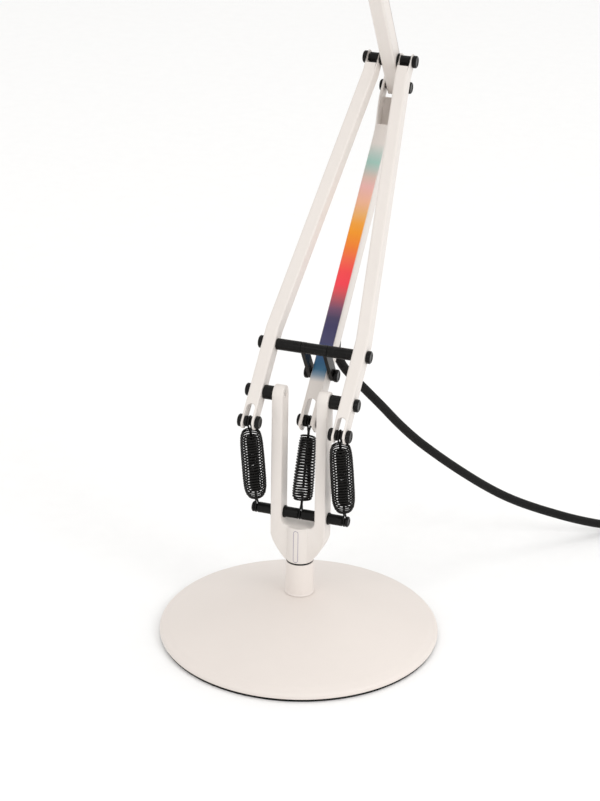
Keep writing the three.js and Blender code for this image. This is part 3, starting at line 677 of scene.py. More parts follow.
fork = {
    "inner": 13.6, "outer": 22.3, "depth": 7.5, "saddle": 96.0, "bottom": 65.5, "edge": 1.0, "fillet": 6.0,
    "eye": 1.35, "eyeRing": 2.5, "eyeDepth": 0.35, "boltStart": 15.6, "socketEdge": 1.4,
}


def curveTo(start, control, end, steps=12):
    # Quadratic curve between two points
    t = np.linspace(0, 1, steps)[:, None]
    return (1 - t) ** 2 * np.array(start) + 2 * t * (1 - t) * np.array(control) + t**2 * np.array(end)


def makeFork():
    f, r, top = fork, base["stem"], lamp["pivotHeight"] + fork["depth"]
    inner, outer, bottom, saddle, fillet = f["inner"], f["outer"], f["bottom"], f["saddle"], f["fillet"]
    right = np.concatenate([
        curveTo((r - 1.2, bottom + 0.6), (20, 77), (outer, 87)), [[outer, top], [inner, top]],
        curveTo((inner, saddle + fillet), (inner, saddle), (inner - fillet, saddle), 10),
    ])
    outline = np.concatenate([right, (right * (-1, 1))[::-1]])
    body = prism("forkBody", outline, -f["depth"], f["depth"], baseFrame, alongX=False)
    body.data.materials.append(powderCoat)
    side = prism("side", stadium(f["depth"], bottom - 10, lamp["pivotHeight"], steps=28), -30, 30,
                 baseFrame)
    carve(body, [("INTERSECT", side)])
    easeEdges(body, f["edge"], 3, 50)  # the plate's edges are rounded before the socket joins it
    keepShape(body)
    socketShape = softened([[0, bottom], [r, bottom], [r, saddle - 0.3], [0, saddle - 0.3]],
                           [0, 0.5, f["socketEdge"], 0])
    socket = skin("socket", turnedGrid(socketShape, 96), None)
    bore = skin("bore", turnedGrid([[6.5, 60], [6.5, 85.5]], 48), None)
    anchorHole = rod("anchorHole", 2.8, -30, 30, anchorFrame)
    eye = rod("eye", f["eye"], -inner - 3, inner + 3, lowerFrame)
    ring = rod("ring", f["eyeRing"], -inner - f["eyeDepth"], inner + f["eyeDepth"], lowerFrame)
    bolts = [rod("boltHole", 3.3, *sorted((hand * (f["boltStart"] - 0.3), hand * 30)), lowerFrame)
             for hand in (1, -1)]
    carve(body, [("UNION", socket), *(("DIFFERENCE", tool) for tool in (bore, anchorHole, eye, ring,
                                                                        *bolts))])
    settle(body, "fork", ["fork"])


def makeLabel():
    # An empty pill-shaped outline on the socket: its flat outline is wrapped round the cylinder, x = r
    # sin(s / r)
    label = {"half": 2.0, "low": 68.6, "high": 92.0, "line": 0.28, "radius": 11.04, "proud": 0.05}
    outer = stadium(label["half"], label["low"], label["high"], steps=24)
    inner = stadium(label["half"] - label["line"], label["low"], label["high"], steps=24)
    rings = [(inner, 0.0), (outer, 0.0), (outer, label["proud"]), (inner, label["proud"])]
    points = [np.stack([(label["radius"] + up) * np.sin(o[:, 0] / label["radius"]),
                        -(label["radius"] + up) * np.cos(o[:, 0] / label["radius"]), o[:, 1]], axis=-1)
                        for o, up in rings]
    piece = skin("labelOutline", np.stack(points), labelInk, closedRows=True, sharpAngle=60)
    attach(piece, "fork")


makeFork()
makeLabel()
print("fork made")

# Pins, sleeves and rollers: turned shapes on the X axis, in (radius, x)


def oneCap(radius, start, end, head, length, dish=0.35):
    # A pin with a cap at its far end: a chamfer round the cap and a shallow dish in its face
    high = end + length
    return np.array([[0, start], [radius - 0.3, start], [radius, start + 0.3], [radius, end],
                     [head - 0.25, end],
                     [head, end + 0.25], [head, high - 0.75], [head - 0.75, high], [head - 1.7, high],
                     [head - 2.1, high - dish], [0, high - dish]])


def headedPin(radius, end, head, length):
    # The capped half of a pin, mirrored to the other end
    half = oneCap(radius, 0, end, head, length)[3:]
    return np.concatenate([(half * (1, -1))[::-1], half])


def sleeveShape(bore, radius, low, high, chamfer=0.35):
    return np.array([[bore, low], [radius - chamfer, low], [radius, low + chamfer],
                     [radius, high - chamfer],
                     [radius - chamfer, high], [bore, high]])


def rollerShape(bore, radius, core, low, high, groove, chamfer=0.35):
    left, right = groove
    return np.array([[bore, low], [radius - chamfer, low], [radius, low + chamfer], [radius, left - 0.6],
                     [radius - 0.6, left], [core + 0.5, left + 0.1], [core, left + 0.6],
                     [core, right - 0.6],
                     [core + 0.5, right - 0.1], [radius - 0.6, right], [radius, right + 0.6],
                     [radius, high - chamfer], [radius - chamfer, high], [bore, high]])


pin = {"rod": 2.5, "thin": 2.2, "cap": 5.0, "smallCap": 4.8, "core": 3.0, "soft": 0.15, "sides": 56}


def addTurned(name, profile, place, finish, body, node, bored=True, pair=False):
    # One piece, or a right one and its mirror image at the left
    material, slot = finish
    grid = turnedGrid(softened(profile, pin["soft"], closed=bored, steps=4), pin["sides"], alongX=True)
    hands = (("Right", "_right", grid), ("Left", "_left", mirroredX(grid))) if pair else (("", "", grid),)
    for side, nodeSide, shape in hands:
        settle(skin(name + side, shape, material, place, closedRows=bored), body, [node + nodeSide])


def makePins():
    metal, plastic, spread = (blackMetal, "black_metal"), (blackPlastic,
                                                           "black_plastic"), lamp["springSpread"]
    addTurned("anchorShaft", headedPin(pin["rod"], spread + 1.2, 4.15, 2.2), anchorFrame, metal, "fork",
              "anchor_shaft", False)
    innerSleeve = [[2.8, 1.2], [3.6, 1.2], [4.15, 1.75], [4.15, 11.9], [4.8, 12.1], [4.8, 13.3],
                   [2.8, 13.3]]
    addTurned("anchorInnerSleeve", innerSleeve, anchorFrame, plastic, "fork", "anchor_inner_sleeve",
              pair=True)
    outerSleeve = [[2.8, 22.6], [4.8, 22.6], [4.8, 23.7], [4.15, 23.9], [4.15, spread - 1.7],
                   [3.6, spread - 1.2], [2.8, spread - 1.2]]
    addTurned("anchorOuterSleeve", outerSleeve, anchorFrame, plastic, "fork", "anchor_outer_sleeve",
              pair=True)

    addTurned("mainPivotBolt", oneCap(3.0, fork["boltStart"], 41.85, pin["cap"], 3.5), lowerFrame, metal,
              "fork", "main_pivot_bolt", False, True)
    addTurned("mainPivotSpacer", sleeveShape(3.4, 5.5, 22.6, 30.75), lowerFrame, plastic, "lower_arm",
              "main_pivot_spacer", pair=True)
    addTurned("crossShaft", headedPin(pin["rod"], 41.85, pin["cap"], 3.4), crossFrame, metal, "lower_arm",
              "cross_shaft", False)
    addTurned("crossSleeve", sleeveShape(2.8, 4.5, 10.7, 30.75, 0.25), crossFrame, plastic, "lower_arm",
              "cross_shaft_sleeve", pair=True)
    tail = headedPin(pin["thin"], 5.55, pin["cap"], 3.2) + (0, 36.3)
    addTurned("tailPin", tail, tailFrame, metal, "lower_arm", "tail_pin", False, True)
    spool = rollerShape(2.5, 4.2, pin["core"], 32.85, 39.75, (spread - 1.2, spread + 1.2))
    addTurned("tailSpool", spool, tailFrame, plastic, "lower_arm", "tail_spool", pair=True)
    addTurned("elbowShaft", headedPin(pin["rod"], 18.9, pin["cap"], 3.4), elbowFrame, metal, "lower_arm",
              "elbow_shaft", False)
    bush = [[2.8, 6.3], [5.2, 6.3], [5.4, 6.5], [5.4, 7.6], [5.2, 7.8], [4.25, 7.8], [4.25, 16.8],
            [2.8, 16.8]]
    addTurned("elbowBush", bush, elbowFrame, plastic, "lower_arm", "elbow_bush", pair=True)

    addTurned("crankPin", headedPin(pin["thin"], 10.7, pin["cap"], 3.0), crankPinFrame, metal, "crank",
              "crank_pin", False)
    addTurned("linkTailPin", headedPin(pin["thin"], 6.5, pin["smallCap"], 3.0), linkFrame, metal,
              "link_bar", "link_tail_pin", False)
    addTurned("linkSpool", rollerShape(2.5, 4.6, pin["core"], -4.4, 4.4, (-1.2, 1.2)), linkFrame, plastic,
              "link_bar", "link_spool")
    addTurned("linkTopPin", headedPin(pin["thin"], 10.2, pin["smallCap"], 3.0), linkTopFrame, metal,
              "upper_arm", "link_top_pin", False)


makePins()
print("pins, sleeves and rollers made")

# Folded channels: a U section carried along local Z, with its ends rounded and its slots and holes cut

channel = {"sheet": 1.5, "fold": 1.9, "insideFold": 0.7, "lip": 0.4, "edge": 0.32, "slotHalf": 3.4,
           "beyond": 70.0}


def channelGrid(stations, front, back):
    # stations are (z, middle x, half width). The section's corner points depend on the half width; each is
    # a column
    wall, cornerSteps = channel["sheet"], 6
    radii = np.array([channel["lip"], channel["fold"], channel["fold"], channel["lip"], channel["lip"],
                      channel["insideFold"], channel["insideFold"], channel["lip"]])

    def section(half):
        corners = [[-half, back], [-half, front], [half, front], [half, back], [half - wall, back],
                   [half - wall, front + wall], [wall - half, front + wall], [wall - half, back]]
        return softened(corners, radii, closed=True, steps=cornerSteps)

    rows = [np.concatenate([section(half) + (middle, 0), np.full((len(radii) * cornerSteps, 1), z)], axis=1)
            for z, middle, half in stations]
    return np.stack(rows)


def slotCut(outline, front):
    # A slot through the web, outline in local (x, z)
    return lambda place: prism("slot", outline, front - 3, 0.0, place, alongX=False)


def squareSlot(half, low, high, middle=0.0):
    # A slot with square corners, only just rounded
    corners = np.array([[-half, low], [half, low], [half, high], [-half, high]]) + (middle, 0)
    return softened(corners, 0.7, closed=True)


def hole(radius, low, high, height):
    return lambda place: rod("hole", radius, low, high, place, height)


def makeChannel(name, grid, place, finish, silhouette, cuts, body, nodes, joined=()):
    piece = skin(name, grid, finish, place)
    steps = [("INTERSECT", prism("ends", silhouette, -channel["beyond"], channel["beyond"],
                                 place))] + [("DIFFERENCE", cut(place))
                                                                          for cut in cuts]
    steps += [("UNION", part) for part in joined]
    carve(piece, steps)
    easeEdges(piece, channel["edge"], 2)
    return settle(piece, body, nodes)


lowerArm = {"spread": 36.3, "elbowSpread": 13.35, "half": 5.25, "depth": 6.0, "parallelTo": 52.0,
            "landFrom": 279.0, "lip": 0.85,
            "tailSlotTo": -16.4, "elbowSlot": 7.4}


def makeOuterArms():
    a = lowerArm
    length, tail = lamp["lowerLength"], lamp["tailAt"]
    stations = [(-50, a["spread"], a["half"]), (a["parallelTo"], a["spread"], a["half"]),
                (a["landFrom"], a["elbowSpread"], a["half"]), (length + 20, a["elbowSpread"], a["half"])]
    right = channelGrid(stations, -a["depth"], a["depth"])
    ends = stadium(a["depth"], tail, length, steps=28)
    for side, hand in (("Right", 1), ("Left", -1)):
        grid = right if hand == 1 else mirroredX(right)
        slots = [slotCut(stadium(channel["slotHalf"], tail - 12, a["tailSlotTo"], hand * a["spread"]),
                         -a["depth"]),
                 slotCut(squareSlot(a["half"] - a["lip"], length - a["elbowSlot"], length + 12,
                                    hand * a["elbowSpread"]), -a["depth"])]
        span = sorted((hand * 20, hand * 55))
        bushSide = sorted((hand * 2, hand * a["elbowSpread"]))
        shaftSide = sorted((hand * 2, hand * 30))
        holes = [hole(2.5, *span, tail), hole(3.4, *span, 0.0), hole(2.8, *span, lamp["crossShaftAt"]),
                 hole(2.8, *shaftSide, length), hole(4.55, *bushSide, length)]
        makeChannel(f"outerArm{side}", grid, lowerFrame, powderCoat, ends, slots + holes, "lower_arm",
                    [f"outer_arm_{side.lower()}"])


link = {
    "half": 6.2, "ear": 9.9, "front": -8.5, "back": 6.5, "flareFrom": 244.0, "flareTo": 284.0,
    "tailSlotTo": 12.6, "foot": 2.5,
    "slot": [[-4.6, 254], [4.6, 254], [7.6, 275], [7.6, 313], [-7.6, 313], [-7.6, 275]],
    "tab": [[-6.3, 258], [6.3, 258], [8.6, 276], [8.6, 285.2], [-8.6, 285.2], [-8.6, 276]], "tabFrom": 4.8,
    "tabTo": 6.2,
}


def makeLinkBar():
    b, length = link, lamp["lowerLength"]
    rise = np.linspace(0, 1, 9)
    # The flare eases from the bar's half width to the ears' as t^2 (3 - 2t)
    flare = b["half"] + (b["ear"] - b["half"]) * rise**2 * (3 - 2 * rise)
    heights = b["flareFrom"] + (b["flareTo"] - b["flareFrom"]) * rise
    stations = [(-30, 0, b["half"]), *((z, 0, h) for z, h in zip(heights, flare, strict=True)),
                (length + 20, 0, b["ear"])]
    topRadius = -b["front"]
    corner = 2 * b["foot"]
    ends = np.concatenate([arc((0, length), topRadius, 45, 180, 28),
                           arc((b["front"] + corner, -b["foot"]), corner, 180, 270, 12),
                           arc((b["back"] - corner, -b["foot"]), corner, 270, 360, 12)])
    cuts = [slotCut(stadium(channel["slotHalf"], -20, b["tailSlotTo"]), b["front"]),
            slotCut(softened(b["slot"], 1.4, closed=True),
                                                                  b["front"]),
            *(hole(2.5, -20, 20, height) for height in (0.0, lamp["crossShaftAt"], length))]
    tab = prism("tab", b["tab"], b["tabFrom"], b["tabTo"], linkFrame, alongX=False)
    makeChannel("linkBar", channelGrid(stations, b["front"], b["back"]), linkFrame, linkCoat, ends, cuts,
                "link_bar", ["link_bar"], [tab])


upper = {"half": 6.0, "depth": 6.5}


def makeUpperArm():
    length, tail, half, depth = lamp["upperLength"], -lamp["crankLength"], upper["half"], upper["depth"]
    grid = channelGrid([(-60, 0, half), (length + 20, 0, half)], -depth, depth)
    cuts = [hole(2.8, -20, 20, 0.0), hole(2.5, -20, 20, tail), hole(2.8, -20, 20, length),
            slotCut(stadium(half - channel["sheet"], length - 14, length + 20), -depth)]
    makeChannel("upperArm", grid, upperFrame, powderCoat, stadium(depth, tail, length, steps=28), cuts,
                "upper_arm", ["upper_arm"])


makeOuterArms()
makeLinkBar()
makeUpperArm()
print("arms made")

crank = {"radius": 4.5, "hub": 4.38, "half": 10.4, "cheekIn": 7.4, "edge": 0.28}


def makeCrank():
    c, reach = crank, lamp["crankLength"]
    barrel = turnedGrid([[c["hub"], 1 - c["half"]], [c["hub"], c["half"] - 1]], 56, alongX=True)
    hub = skin("crankArm", barrel, blackMetal, crankFrame)
    outline = stadium(c["radius"], -reach, 0, steps=28)
    cheeks = [prism("cheek", outline, *sorted((hand * c["cheekIn"], hand * c["half"])), crankFrame)
              for hand in (1, -1)]
    carve(hub, [("UNION", cheeks[0]), ("UNION", cheeks[1]), ("DIFFERENCE",
                                                             rod("bore", 2.8, -20, 20, crankFrame)),
                ("DIFFERENCE", rod("pinHole", 2.5, -20, 20, crankPinFrame))])
    easeEdges(hub, c["edge"], 2, 60, clamp=True)
    settle(hub, "crank", ["crank"])


makeCrank()

# Springs: a wire carried along a helix whose radius follows the coil's outline, with hooks at both ends

spring = {
    "wire": 0.64, "turns": 25.0, "radius": 9.25, "innerWire": 0.5, "innerTurns": 36.0, "innerRadius": 4.0,
    "centreWire": 0.78, "centreTurns": 23.4, "centreRadius": 8.4, "hookWire": 0.72, "lowEnd": 10.5,
    "highEnd": 9.5, "centreHighEnd": 11.2,
    "stepsPerTurn": 18, "wireSides": 8, "hookSides": 12, "lowLeg": 6.0, "highLeg": 17.0, "endCrowd": 0.035,
    "shrink": 0.89, "squashJoint": "lower_arm_pivot", "longLeg": 52.0,
    "innerFrom": 7.0, "innerTo": 5.0, "centreJoint": "elbow_pivot", "centreShrink": 0.9,
}
coilOutline = {
    "at": [0.0, 0.03, 0.08, 0.16, 0.3, 0.6, 0.8, 0.9, 0.96, 1.0],
    "share": [0.52, 0.72, 0.87, 0.965, 1.0, 1.0, 0.97, 0.92, 0.85, 0.72],
}
centreOutline = {
    "at": [0.0, 0.025, 0.07, 0.2, 0.4, 0.7, 0.9, 1.0],
    "share": [0.66, 0.86, 0.97, 1.0, 0.975, 0.88, 0.8, 0.7],
}


def coilGrid(outline, radius, wire, turns, low, high, startAngle=0.0):
    # x = R cos a, y = R sin a, z grows evenly, where a is the angle wound and R the outline's radius there.
    # The end turns lie closer together than the middle ones
    steps = round(turns * spring["stepsPerTurn"])
    share = np.linspace(0, 1, steps)
    a = startAngle + 2 * np.pi * turns * share
    reach = (radius - wire) * np.interp(share, outline["at"],
                                        outline["share"]) if outline else np.full(steps, radius - wire)
    height = low + wire + (high - low - 2 * wire) * (share - spring["endCrowd"] * np.sin(2 * np.pi * share)
                                                     / 2)
    path = np.stack([reach * np.cos(a), reach * np.sin(a), height], axis=1)
    return tubeGrid(path, wire, spring["wireSides"])


def hookPath(core, reach, spread=1.0):
    # Two legs that widen into a loop round a pin at the origin
    bend = core + 0.3 + spring["hookWire"] + 0.1
    loop = arc((0, 0), bend, 180, 360, 18)
    neck = [[bend * 0.93, bend * 0.4], [bend * 0.72, bend * 1.0], [bend * 0.48, bend * 1.65],
            [spread, bend * 2.2], [spread, reach]]
    right = np.concatenate([loop[9:], neck])
    left = (right * (-1, 1))[::-1]
    flat = np.concatenate([left[:-1], right])
    path = smoothPath(np.concatenate([np.zeros((len(flat), 1)), flat], axis=1), 4)
    return evenPath(path, 0.7)


def makeHook(name, place, core, reach, body, node):
    grid = tubeGrid(hookPath(core, reach), spring["hookWire"], spring["hookSides"])
    settle(skin(name, grid, springBlack, place, sharpAngle=70), body, [node])


def springFrames(foot, top):
    # The spring's frame at its foot, the same turned over at its top, and its length
    reach = top - foot
    length = float(np.linalg.norm(reach))
    lean = math.degrees(math.atan2(reach[1], reach[2]))
    return placeAt(foot, lean), placeAt(top, lean + 180.0), length


def makeOuterSpring(side, hand):
    s, low = spring, spring["lowEnd"]
    sideways = np.array([hand * lamp["springSpread"], 0, 0])
    foot = anchorFrame[:3, 3] + sideways
    place, topPlace, length = springFrames(foot, tailFrame[:3, 3] + sideways)
    high, body = length - s["highEnd"], f"spring_{side.lower()}"
    grid = coilGrid(coilOutline, s["radius"], s["wire"], s["turns"], low, high)
    outer = skin(f"outerCoil{side}", grid, springBlack, place, sharpAngle=70)
    inside = coilGrid(None, s["innerRadius"], s["innerWire"], s["innerTurns"], low + s["innerFrom"],
                      high - s["innerTo"])
    inner = skin(f"innerCoil{side}", inside, springBlack, place, sharpAngle=70)
    for piece, node in ((outer, body), (inner, f"inner_{body}")):
        settle(piece, body, [node])
        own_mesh(piece)
    makeHook(f"lowerHook{side}", place, pin["rod"], low + s["lowLeg"], body, f"lower_hook_{side.lower()}")
    upperBody = f"upper_hook_{side.lower()}"
    makeHook(f"upperHook{side}", topPlace, pin["core"], s["highLeg"], upperBody, upperBody)


def makeCentreSpring():
    s, low = spring, spring["lowEnd"]
    place, topPlace, length = springFrames(anchorFrame[:3, 3], linkFrame[:3, 3])
    grid = coilGrid(centreOutline, s["centreRadius"], s["centreWire"], s["centreTurns"], low,
                    length - s["centreHighEnd"], 0.9)
    coil = skin("coilCentre", grid, springBlack, place, sharpAngle=70)
    settle(coil, "spring_centre", ["spring_centre"])
    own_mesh(coil)
    makeHook("lowerHookCentre", place, pin["rod"], low + s["lowLeg"], "spring_centre", "lower_hook_centre")
    makeHook("upperHookCentre", topPlace, pin["core"], s["longLeg"], "upper_hook_centre",
             "upper_hook_centre")


makeOuterSpring("Right", 1)
makeOuterSpring("Left", -1)
makeCentreSpring()
print("springs made")

# The head: knuckle, knob, lampholder, switch, bulb and shade

head = {
    "knuckleHalf": 4.1, "knobRadius": 8.0, "knurls": 28, "knurlDepth": 0.35, "wall": 1.4, "sides": 160,
    "bead": (74.0, -154.8), "beadRadius": 1.15, "mouth": -153.6, "buttonAt": 11.0, "glassWall": 1.2,
    "shade": [[17.4, -47.6], [21, -47.6], [26, -53], [42, -79], [58, -108], [69, -136], [75, -156]],
    "bulb": [[0, -148], [15, -144], [26, -133], [30, -118], [28, -106], [20, -92], [14, -80],
             [12.5, -70.4]],
}


def makeKnuckle():
    forward, half = lamp["headForward"], head["knuckleHalf"]
    outline = np.concatenate([arc((0, 0), 6, -90, 90, 28), [[forward, -9], [forward, -24]]])
    bar = prism("headKnuckle", outline, -half, half, pivotFrame)
    bar.data.materials.append(blackMetal)
    profile = softened([[0, -30], [7.5, -30], [7.5, -10], [5.5, -8], [0, -8]], [0, 0.6, 0.6, 0.6, 0],
                       steps=5)
    neck = skin("neck", turnedGrid(profile, 56), None, headFrame)
    carve(bar, [("UNION", neck), ("DIFFERENCE", rod("bore", 2.8, -10, 10, pivotFrame))])
    easeEdges(bar, 0.5, 3)
    settle(bar, "head_knuckle", ["head_knuckle"])

    # The knob's rim goes in and out round its axis: r (1 - depth |sin(n t / 2)|)
    side = upper["half"] + lamp["gap"]
    shape = oneCap(pin["rod"], -side, side, head["knobRadius"], 7.0, 0.8)[1:]
    left = oneCap(pin["rod"], -side, side, pin["cap"], 3.0)
    left = (left[4:] * (1, -1))[::-1]
    profile = softened(np.concatenate([left, shape[3:]]), 0.2, steps=4)
    sides = head["knurls"] * 6
    grid = turnedGrid(profile, sides, alongX=True)
    t = np.linspace(0, 2 * np.pi, sides, endpoint=False)
    wave = 1 - head["knurlDepth"] / head["knobRadius"] * np.abs(np.sin(head["knurls"] * t / 2))
    rim = (profile[:, 0] > head["knobRadius"] - 1.0)[:, None] & (profile[:, 1] > side)[:, None]
    grid[..., 1:] *= np.where(rim, wave, 1.0)[..., None]
    settle(skin("headKnob", grid, blackPlastic, pivotFrame, sharpAngle=30), "upper_arm",
           ["head_pivot_knob"])


def makeLampholder():
    cup = [[0, -44], [13.4, -44], [13.4, -68], [16, -68], [17, -66], [20, -50], [20, -49.4], [17, -49.4],
           [17, -36],
           [14.5, -30.3], [0, -30.3]]
    grid = turnedGrid(softened(cup, [0, 0.3, 0.2, 0.4, 0.6, 0.3, 0.2, 0.4, 0.9, 0.9, 0], steps=5), 96)
    holder = skin("lampSocket", grid, blackPlastic, headFrame)
    buttonHole = skin("hole", turnedGrid([[2.8, -39.2], [2.8, -28]], 40) + (head["buttonAt"], 0, 0), None,
                      headFrame)
    carve(holder, [("DIFFERENCE", buttonHole)])
    easeEdges(holder, 0.15, 2, 50)
    settle(holder, "head", ["lampholder"])
    button = softened([[0, -36.6], [2.4, -36.6], [2.4, -28.2], [1.7, -27.8], [0, -27.9]], 0.25, steps=5)
    grid = turnedGrid(button, 40) + (head["buttonAt"], 0, 0)
    settle(skin("switchButton", grid, switchWhite, headFrame), "switch_button", ["switch_button"])


def makeBulb():
    # The cap's thread is a ripple in its radius along its height
    rise = np.linspace(-69.6, -47.0, 70)
    thread = np.stack([12.7 + 0.28 * np.sin(2 * np.pi * rise / 3.6), rise], axis=1)
    cap = np.concatenate([[[0, -70], [12.4, -70]], thread, [[8, -44.6], [0, -44.5]]])
    settle(skin("bulbCap", turnedGrid(cap, 72), capMetal, headFrame), "head", ["bulb_cap"])
    outside = smoothPath(np.array([[r, 0, z] for r, z in head["bulb"]]), 8)[:, [0, 2]]
    outside[:, 0] = np.clip(outside[:, 0], 0, 30)
    inside = outside[outside[:, 0] > 6.0] - (head["glassWall"], 0)
    profile = np.concatenate([outside, inside[::-1], [[0, head["bulb"][0][1] + head["glassWall"]]]])
    settle(skin("bulbGlass", turnedGrid(profile, 96), opalGlass, headFrame), "head", ["bulb_glass"])


def makeShade():
    # The spun outline as a smooth curve, offset inwards by the wall, with the mouth's edge rolled round
    line = smoothPath(np.array([[r, 0, z] for r, z in head["shade"][1:]]), 12)[:, [0, 2]]
    slope = unit(np.gradient(line, axis=0))
    inwards = np.stack([slope[:, 1], -slope[:, 0]], axis=1)
    inner = line + inwards * head["wall"]
    bead = arc(head["bead"], head["beadRadius"], 300, 60, 10)
    outer, inner = (edge[edge[:, 1] > head["mouth"]] for edge in (line, inner))
    top = head["shade"][0]
    profile = np.concatenate([[[top[0], top[1] - head["wall"]], top], outer, bead, inner[::-1]])
    settle(skin("spunShade", turnedGrid(profile, head["sides"]), powderCoat, headFrame, closedRows=True),
           "head", ["shade"])


makeKnuckle()
makeLampholder()
makeBulb()
makeShade()
print("head made")

# The cable: one smooth line from its relief, down to the table, into a coil and out to the plug

cable = {
    "diameter": 7.2, "length": 1.99, "exit": (0.0, 80.5, 220.0), "sides": 24, "step": 2.6,
    "route": [
        [0, 80.5, 220], [1.3, 78, 209.4], [6.2, 79.6, 198.3], [12.6, 84.8, 187.6], [19.4, 91.1, 177.3],
        [31.9, 103, 157.9],
        [43.5, 114, 139.4], [55.2, 125.1, 122.7], [67.1, 136.4, 107.9], [79, 147.7, 94], [91, 159, 80.8],
        [103.1, 170.6, 68.1], [115.3, 182.1, 56.6], [127.6, 193.8, 46.5], [140, 205.5, 37.6],
        [152.5, 217.4, 29.3],
        [165, 229.2, 21.5], [177.6, 241.2, 14.4], [187.5, 250.6, 9.6], [198, 260.6, 5.9], [206, 268.1, 4.3],
        [212.8, 274.6, 3.9], [220.5, 284.0, 3.9],
    ],
    "coilCentre": (261.6, 268.6), "enterAngle": 133.8, "turns": 6.247,
    "windTurn": [0, 0.9, 1.12, 1.88, 2.1, 2.88, 3.1, 4.12, 4.45, 5.0, 5.22, 6.0, 6.247],
    "windRadius": [41.6, 41.6, 34.4, 34.4, 34.4, 34.4, 41.6, 41.6, 34.4, 34.4, 41.6, 41.6, 48.6],
    "windHeight": [3.9, 3.9, 3.9, 3.9, 11.1, 11.1, 11.1, 11.1, 18.3, 18.3, 18.3, 18.3, 11.5],
    "tail": [[304.0, 296.0, 8.6], [312.5, 284.5, 5.6], [319.5, 272.5, 4.3], [325.5, 262.0, 5.2],
             [330.8, 253.4, 6.7], [336.2, 247.8, 7.2]],
    "blendTo": (140.0, 205.5, 37.6),
}


def eased(at, knots, values):
    # Between two knots the value eases from one to the next as t^2 (3 - 2t)
    knots, values = np.asarray(knots, float), np.asarray(values, float)
    i = np.clip(np.searchsorted(knots, at, side="right") - 1, 0, len(knots) - 2)
    t = np.clip((at - knots[i]) / (knots[i + 1] - knots[i]), 0, 1)
    return values[i] + (values[i + 1] - values[i]) * t**2 * (3 - 2 * t)


def cableLine():
    c = cable
    turn = np.linspace(0.02, c["turns"], 26 * 7)
    angle = np.radians(c["enterAngle"] - 360 * turn)
    radius, height = eased(turn, c["windTurn"], c["windRadius"]), eased(turn, c["windTurn"],
                                                                        c["windHeight"])
    coil = np.stack([c["coilCentre"][0] + radius * np.cos(angle),
                     c["coilCentre"][1] + radius * np.sin(angle), height], axis=1)
    points = np.concatenate([c["route"], coil, c["tail"]])
    return evenPath(smoothPath(points, 6), c["step"])


def makeCable():
    c = cable
    path = cableLine()
    run = runAlong(path)
    print("cable length", round(run[-1] / 1000, 3), "m")
    across = np.pi * c["diameter"]
    flex = skin("mainsFlex", tubeGrid(path, c["diameter"] / 2, c["sides"]), cableBraid, sharpAngle=60,
                uv=run / across)
    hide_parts("mains_cable", "cable_coil", "cable_tail")
    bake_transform(flex)
    return flex, path


def makeRelief():
    # A tapered sleeve with moulded rings round it
    shape = {"top": (0, 1.2, 97), "turn": 30.0, "length": 24.0, "thick": 4.4, "thin": 3.95, "rings": 6,
             "ringDepth": 0.45, "steps": 97, "plainEnd": 2.0}
    z = np.linspace(-shape["length"], 0, shape["steps"])
    taper = shape["thin"] + (shape["thick"] - shape["thin"]) * (z / shape["length"] + 1)
    ringed = (z < -shape["plainEnd"]) & (z > 1 - shape["length"])
    ring = shape["ringDepth"] * (np.cos(2 * np.pi * shape["rings"] * z / shape["length"]) < -0.1) * ringed
    profile = np.concatenate([[[0, z[0]]], np.stack([taper - ring, z], axis=1), [[0, 0]]])
    place = placeAt(toWorld(shape["top"], linkFrame), lamp["lowerLean"] - shape["turn"])
    piece = skin("strainRelief", turnedGrid(profile, 40), rubberBlack, place)
    return settle(piece, "lower_arm", ["strain_relief"])


def makeLeads():
    # The same flex inside the link bar and inside the upper arm
    def lead(name, points, radius, place, body, nodeName):
        path = evenPath(smoothPath(points, 10), 2.5)
        around = 2 * np.pi * radius
        piece = skin(name, tubeGrid(path, radius, 20), cableBraid, place, sharpAngle=60,
                     uv=runAlong(path) / around)
        settle(piece, body, [nodeName])

    inLink = [[0, -3.1, 240], [0, -3.1, 210], [0, -3.1, 180], [0, -3.1, 150], [0, -3.1, 118],
              [0, -2.6, 107], [0, -1, 101.2], [0, 1, 97.5]]
    lead("linkLead", inLink, 3.6, linkFrame, "link_bar", "link_lead")
    inArm = [[0, 1.4, z] for z in (16, 60, 100, 170, 240, 300, 350)]
    lead("upperArmLead", inArm, 2.8, upperFrame, "upper_arm", "upper_arm_lead")


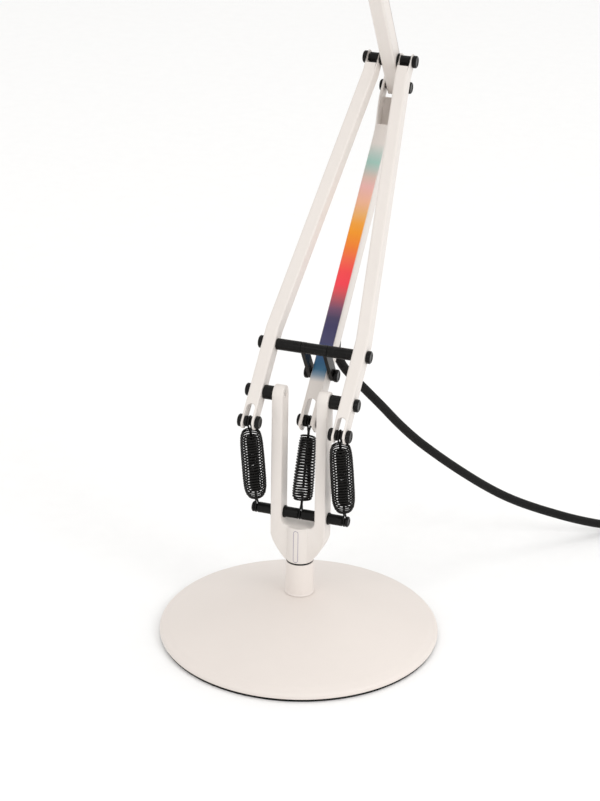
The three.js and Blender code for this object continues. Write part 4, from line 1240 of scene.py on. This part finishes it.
def makePlug():
    # Rings of a rounded box along the plug: x = w cos t |cos t|^(e-1), z = h sin t |sin t|^(e-1), with the
    # width w and height h easing from the cable's end to the face
    shape = {
        "at": [0, 1, 5, 10, 14, 18, 22, 28, 32.5, 33.8, 34], "width": [4.6, 5.0, 5.2, 7.5, 12, 16.2, 17.4,
                                                                       17.5, 17.5, 16.9, 16.2],
        "height": [4.4, 4.8, 5.0, 5.6, 6.2, 6.6, 6.8, 6.8, 6.8, 6.3, 5.6], "power": 0.45,
        "prongX": 9.5, "prongRadius": 2.0, "prongTip": 53.0,
    }
    y = np.interp(np.linspace(0, 1, 60), np.linspace(0, 1, len(shape["at"])), shape["at"])
    width, height = eased(y, shape["at"], shape["width"]), eased(y, shape["at"], shape["height"])
    t = np.linspace(0, 2 * np.pi, 72, endpoint=False)
    c, s = (np.sign(f(t)) * np.abs(f(t)) ** shape["power"] for f in (np.cos, np.sin))
    grip = 1 - 0.06 * ((y > 15) & (y < 30) & (np.sin(y * 2.2) > 0.2))
    body = np.stack([np.outer(width * grip, c), np.outer(y, np.ones(72)), np.outer(height, s)], axis=-1)
    r = math.radians(-135)
    place = np.eye(4)
    place[:2, :2] = [[math.cos(r), -math.sin(r)], [math.sin(r), math.cos(r)]]
    place[:3, 3] = cable["tail"][-1]
    plug = skin("mainsPlug", body, blackPlastic, place, sharpAngle=45)
    tip, radius = shape["prongTip"], shape["prongRadius"]
    prong = softened([[0, 33.0], [radius, 33.0], [radius, tip - 0.2], [radius - 0.2, tip], [0, tip]],
                     [0, 0, 1.1, 1.1, 0], steps=6)
    made = bmesh.new()
    made.from_mesh(plug.data)
    for x in (-shape["prongX"], shape["prongX"]):
        grid = turnedGrid(prong, 32)[..., [0, 2, 1]] * (-1, 1, 1) + (x, 0, 0)
        part = skin("prong", grid, turnedSteel, place, sharpAngle=45)
        part.data.polygons.foreach_set("material_index", np.ones(len(part.data.polygons), np.int32))
        made.from_mesh(part.data)
        bpy.data.objects.remove(part)
    made.to_mesh(plug.data)
    made.free()
    plug.data.materials.append(turnedSteel)
    return settle(plug, "fork", ["plug"])


flex, cablePath = makeCable()
relief, plug = makeRelief(), makePlug()
makeLeads()
print("cable made")

# Each light has its power in watts, its size and its place in metres
studio = {
    "worldStrength": 0.92, "aim": (0.0, 0.0, 0.25), "floor": (0.98, 0.98, 0.98), "floorSize": 60.0,
    "lights": {"key": (16.0, 1.0, (2.2, -1.1, 1.6)), "top": (6.0, 1.2, (0.2, 0.4, 2.9)),
               "strip": (2.6, 0.2, (-0.5, -1.9, 1.9))},
}


def makeStudio():
    world = bpy.data.worlds.new("studio")
    world.use_nodes = True
    background = world.node_tree.nodes["Background"]
    background.inputs["Color"].default_value = (1.0, 0.995, 0.985, 1.0)
    background.inputs["Strength"].default_value = studio["worldStrength"]
    bpy.context.scene.world = world
    for name, (power, size, place) in studio["lights"].items():
        data = bpy.data.lights.new(name, "AREA")
        data.energy, data.size = power, size
        light = bpy.data.objects.new(name, data)
        light.location = place
        light.rotation_euler = (Vector(studio["aim"]) - light.location).to_track_quat("-Z", "Y").to_euler()
        bpy.context.scene.collection.objects.link(light)
    half = studio["floorSize"] / 2
    mesh = bpy.data.meshes.new("floor")
    corners = [(-half, -half, 0), (half, -half, 0), (half, half, 0), (-half, half, 0)]
    mesh.from_pydata(corners, [], [(0, 1, 2, 3)])
    material, tree, shader = newFinish("floorPaper", {"Roughness": 0.85, "Specular IOR Level": 0.2})
    fibres = remap(tree, noise(tree, objectPlace(tree), 60.0, 4.0), 0.3, 0.7, 0.985, 1.0)
    shade = node(tree, "ShaderNodeCombineColor", {"Red": fibres, "Green": fibres, "Blue": fibres})
    colour = mixColour(tree, 1.0, (*studio["floor"], 1.0), shade.outputs[0], "MULTIPLY")
    tree.links.new(colour, shader.inputs["Base Color"])
    floor = linkMesh("floor", mesh, material)
    bpy.context.scene.view_settings.view_transform = "Standard"
    bpy.context.scene.view_settings.look = "None"


makeStudio()
print("studio lit")
